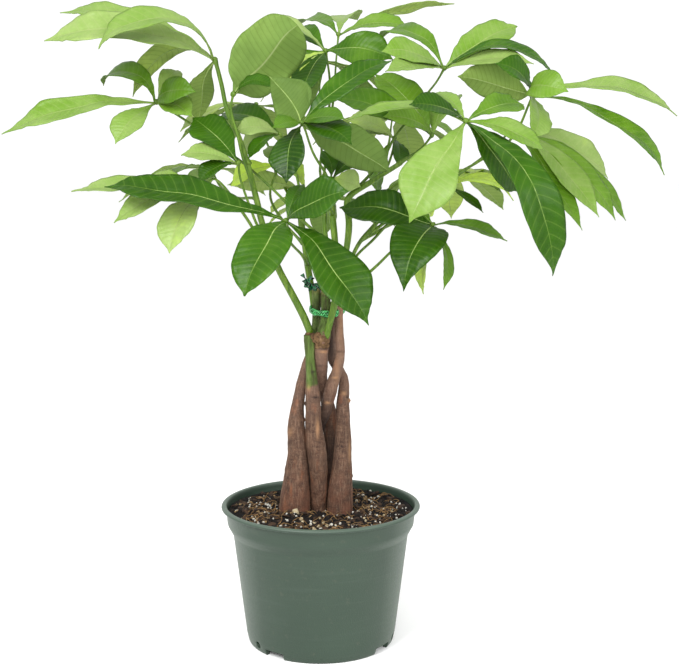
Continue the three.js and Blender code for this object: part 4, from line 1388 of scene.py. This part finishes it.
def rib_model():
    """The midrib under a leaflet: a tapered rod of unit length along X, with its radius in metres."""
    strand = [(Vector((k / 16 - 0.5, 0.0006, 0)), 0.8 - 0.62 * (k / 16) ** 0.7) for k in range(17)]
    return tubes("rib_model", [strand], 6)


def facing(root, tip, face):
    """The normal of a blade between two points whose upper side turns by face degrees to the viewer."""
    ahead = (tip - root).normalized()
    to_eye = EYE - (root + tip) / 2
    to_eye = (to_eye - ahead * to_eye.dot(ahead)).normalized()
    upward = to_eye.cross(ahead)
    if upward.z < 0:
        upward = -upward
    angle = math.radians(face)
    return to_eye * math.sin(angle) + upward * math.cos(angle)


def bent(model, length, width, turn, twist):
    """A copy of a leaflet or rib at its size, bowed by turn over its whole length and twisted along it."""
    piece = alone(copied(model))
    piece.scale = (length, width, width)
    bpy.ops.object.transform_apply(location=False, rotation=False, scale=True)
    modified(piece, "SIMPLE_DEFORM", deform_method="TWIST", deform_axis="X", angle=twist)
    modified(piece, "SIMPLE_DEFORM", deform_method="BEND", deform_axis="Z", angle=turn)
    return piece


def leaflet(models, rib, hub, tip, normal, width, arch, tone_and_painted_light):
    """A blade from near the hub to the tip that bows along its normal, and the rib under it."""
    root = hub.lerp(tip, ROOT_OFFSET * MM / (tip - hub).length)
    span = (tip - root).length
    ahead = (tip - root).normalized()
    turn = 4 * math.atan(2 * arch * MM / span)
    length = span / 2 / math.sin(turn / 2) * turn
    twist = LOOKS.uniform(-LEAF_TWIST, LEAF_TWIST)
    blade = bent(LOOKS.choice(models), length, width * MM, turn, twist)
    valued(blade, "tone_and_painted_light", [tone_and_painted_light] * len(blade.data.vertices))
    keel = bent(rib, length, 1, turn, twist)
    axes = Matrix((ahead, -normal, normal.cross(ahead))).transposed().to_4x4()
    for piece in (blade, keel):
        piece.matrix_world = Matrix.Translation((root + tip) / 2 + normal * arch * MM) @ axes
    return blade, keel


def seeded_draw(seed):
    """A repeatable draw between 0 and 1, the same as the part's."""
    state = seed
    while True:
        state = state * 16807 % 2147483647
        yield state / 2147483647


def rear_leaf(foot, hub, heading, reach, draw):
    """The leaf's stalk and its leaflets' (tip, normal, width, arch). Heading, droop and length vary."""
    centre = AXIS + Vector(hub) * MM
    knee = foot.lerp(centre, 0.55) - Vector((0, 0, 12 * MM))
    blades = []
    for k in range(REAR_LEAFLETS):
        off = (k + 0.5) / REAR_LEAFLETS - 0.5
        azimuth = math.radians(heading + REAR_FAN * off + 14 * (next(draw) - 0.5))
        droop = math.radians(REAR_DROOP + 26 * (next(draw) - 0.5))
        length = reach * (1 - 0.55 * abs(off)) * (0.9 + 0.2 * next(draw))
        out = Vector((math.cos(azimuth), math.sin(azimuth), -math.tan(droop))).normalized()
        level = Vector((-math.sin(azimuth), math.cos(azimuth), 0.3 * (next(draw) - 0.5)))
        normal = out.cross(level).normalized()
        if normal.z < 0:
            normal = -normal
        blades.append((centre + out * length * MM, normal, 0.3 * length, 0.1 * length))
    return [centre, knee, foot], blades


def stalk_strand(points, slim, stout):
    """A leaf stalk from the hub down to the stem, a little swollen at both ends."""
    count = len(points) - 1
    rows = smooth([(point, slim + (stout - slim) * k / count) for k, point in enumerate(points)], 8)
    total = len(rows) - 1
    strand = []
    for k, (place, radius) in enumerate(rows):
        end = min(k, total - k) / total * (points[0] - points[-1]).length / MM
        strand.append((place, radius * (1 + STALK_SWELL * math.exp(-(end / SWELL_REACH) ** 2))))
    return strand


def shoot(name, models, rib, hub_model, skins, draw):
    """A leafy shoot: its stem, stalks and hubs, and its leaflets with their ribs."""
    stem_points = [(seen(*row[:3]), row[3]) for row in SHOOT_STEMS[name]]
    strands = [smooth([(place, STEM_FULLNESS * radius) for place, radius in stem_points], 8)]
    hubs, leaflets = [], []
    for hub, stalk, tips, *radii in LEAVES[name]:
        centre = seen(*hub)
        hubs.append(centre)
        points = [centre, *(seen(*point) for point in stalk)]
        strands.append(stalk_strand(points, *(radii[0] if radii else STALK_RADII)))
        for across, up, toward, width, arch, face, tone_and_painted_light, *outline in tips:
            tip = seen(across, up, toward)
            blades = models[outline[0] if outline else "long"]
            leaflets.append(leaflet(blades, rib, centre, tip, facing(centre, tip, face), width, arch, tone_and_painted_light))
    points, tips = rear_leaf(stem_points[-2][0], *REAR_LEAVES[name], draw)
    hubs.append(points[0])
    strands.append(stalk_strand(points, *STALK_RADII))
    for tip, normal, width, arch in tips:
        tone_and_painted_light = LOOKS.uniform(0.55, 1)
        leaflets.append(leaflet(models["long"], rib, points[0], tip, normal, width, arch, tone_and_painted_light))
    blades, keels = zip(*leaflets)
    upper, under, stem, midrib = skins
    leafage = joined("leafage", blades)
    leafage.data.materials.append(upper)
    leafage.data.materials.append(under)
    modified(
        leafage, "SOLIDIFY", thickness=BLADE_THICKNESS * MM, offset=-1, material_offset=1,
        material_offset_rim=0, use_rim=True,
    )
    knobs = [copied(hub_model, Matrix.Translation(hub)) for hub in hubs]
    rods = joined("rods", [tubes("stalks", strands, 10), *knobs])
    rods.data.materials.append(stem)
    ribs = joined("ribs", keels)
    ribs.data.materials.append(midrib)
    piece = joined(name.replace("shoot", "leafy_shoot"), [leafage, rods, ribs])
    sway = clouds(name + "_sway", 0.035, depth=0, colour=True)
    modified(
        piece, "DISPLACE", texture=sway, texture_coords="GLOBAL", direction="RGB_TO_XYZ", space="GLOBAL",
        strength=5 * MM, mid_level=0.5,
    )
    return finished(piece, "leaf", name)


def hub_knob():
    """The knob where a leaf's leaflets meet."""
    bpy.ops.object.select_all(action="DESELECT")
    bpy.ops.mesh.primitive_ico_sphere_add(subdivisions=2, radius=KNOB_RADIUS * MM)
    knob = bpy.context.object
    roughened(knob, "knob_lumps", 0.003, 0.8 * MM, depth=1)
    bpy.ops.object.shade_smooth()
    return knob


def foliage():
    models = {}
    for turn, (shape, outline) in enumerate(BLADE_OUTLINES.items()):
        count = 3 if shape == "long" else 2
        models[shape] = [blade_model(f"{shape}_blade_{k}", outline, 3 * turn + k) for k in range(count)]
    rib = rib_model()
    knob = hub_knob()
    sides = leaf_skin("leaf_upper_side", True), leaf_skin("leaf_underside", False)
    skins = (*sides, stem_skin(), midrib_skin())
    draw = seeded_draw(REAR_SEED)
    for name in SHOOT_STEMS:
        shoot(name, models, rib, knob, skins, draw)
    for model in (*(blade for group in models.values() for blade in group), rib, knob):
        bpy.data.objects.remove(model)


# Ties

def band_tie():
    """Glossy strands twisted round the heads of the trunks, on a slope."""
    centre = seen(5.7, 297.5, -2.2)
    slope = Matrix.Rotation(math.radians(BAND_SLOPE), 3, "X")
    strands = []
    for k in range(BAND_STRANDS):
        strand = []
        for step in range(BAND_STEPS + 1):
            turn = 2 * math.pi * step / BAND_STEPS
            wind = BAND_WINDS * turn + 2 * math.pi * k / BAND_STRANDS
            reach = 0.55 * math.cos(wind)
            x = (BAND_RADII[0] + reach) * math.cos(turn)
            y = (BAND_RADII[1] + reach) * math.sin(turn)
            rise = 2 * math.sin(wind) + 0.5 * math.sin(3 * turn + k)
            radius = 0.72 + 0.16 * math.sin(5 * turn + 2 * k)
            strand.append((centre + slope @ Vector((x, y, rise)) * MM, radius))
        strands.append(strand)
    piece = tubes("green_band_tie", strands, 6)
    piece.data.materials.append(glossy_strip("bright_green_tie", (2, 124, 46), (112, 240, 142), 0.16))
    return finished(piece, "tie", "band_tie")


def ribbons(name, strands, width, thickness):
    """Flat strips through strands of (place, tilt), as one mesh."""
    curve = bpy.data.curves.new(name, "CURVE")
    curve.dimensions = "3D"
    curve.extrude = width / 2 * MM
    for strand in strands:
        spline = curve.splines.new("POLY")
        spline.points.add(len(strand) - 1)
        for point, (place, tilt) in zip(spline.points, strand):
            point.co = (*place, 1)
            point.tilt = tilt
    strips = bpy.data.objects.new(name, curve)
    bpy.context.scene.collection.objects.link(strips)
    alone(strips)
    bpy.ops.object.convert(target="MESH")
    strips = bpy.context.object
    modified(strips, "SOLIDIFY", thickness=thickness * MM, offset=0)
    return strips


def twist_tie():
    """Crumpled foil strips wound round a trunk's head, with twisted ends."""
    centre = seen(-4.2, 316.5, 2.4)
    strands = []
    for k in range(2):
        strand = []
        for step in range(FOIL_STEPS + 1):
            turn = 2 * math.pi * step / FOIL_STEPS
            reach = FOIL_RADIUS + 0.3 * math.cos(7 * turn + k * 2.1)
            rise = 1.6 * (k - 0.5) + 0.6 * math.sin(5 * turn + k)
            place = centre + Vector((reach * math.cos(turn), reach * math.sin(turn), rise)) * MM
            strand.append((place, math.radians(25) * math.sin(9 * turn + k)))
        strands.append(strand)
    for points in FOIL_ENDS:
        core = smooth([(seen(*point), 0) for point in points], 10)
        strands.append([(place, 0.3 * step) for step, (place, _) in enumerate(core)])
    piece = ribbons("foil_twist_tie", strands, FOIL_WIDTH, FOIL_THICKNESS)
    roughened(piece, "foil_crumples", 0.002, 0.6 * MM, depth=1)
    piece.data.materials.append(glossy_strip("dark_green_foil", (3, 14, 10), (24, 132, 76), 0.22))
    return finished(piece, "foil", "twist_tie")


# Studio

def studio():
    bpy.ops.object.select_all(action="DESELECT")
    bpy.ops.mesh.primitive_plane_add(size=FLOOR_SIZE)
    floor = bpy.context.object
    floor.name = "floor"
    paper = Finish("pale_floor")
    floor.data.materials.append(paper.done(paper.surface((0.93, 0.93, 0.93, 1), 0.8, 0.5)))
    world = bpy.data.worlds.new("studio")
    world.use_nodes = True
    sky = world.node_tree.nodes["Background"]
    sky.inputs["Color"].default_value = (1, 1, 1, 1)
    sky.inputs["Strength"].default_value = SKY_STRENGTH
    bpy.context.scene.world = world
    for name, place, size, power in LAMPS:
        light = bpy.data.lights.new(name, "AREA")
        light.size = size
        light.energy = power
        lamp = bpy.data.objects.new(name, light)
        lamp.location = place
        lamp.rotation_euler = (LAMPS_AIM - Vector(place)).to_track_quat("-Z", "Y").to_euler()
        bpy.context.scene.collection.objects.link(lamp)
    bpy.context.scene.view_settings.view_transform = "Standard"


def camera():
    lens = bpy.data.cameras.new("camera")
    lens.sensor_width = 36
    lens.lens = lens.sensor_width * EYE_DISTANCE / PIXEL / PHOTO_WIDTH
    eye = bpy.data.objects.new("camera", lens)
    eye.location = EYE
    eye.rotation_euler = (math.pi / 2 - EYE_PITCH, 0, 0)
    bpy.context.scene.collection.objects.link(eye)
    bpy.context.scene.camera = eye


camera()
studio()
foliage()
bark = trunk_bark()
for trunk_name in TRUNKS:
    trunk(trunk_name, bark)
callus()
band_tie()
twist_tie()
pot()
soil_bits(soil())
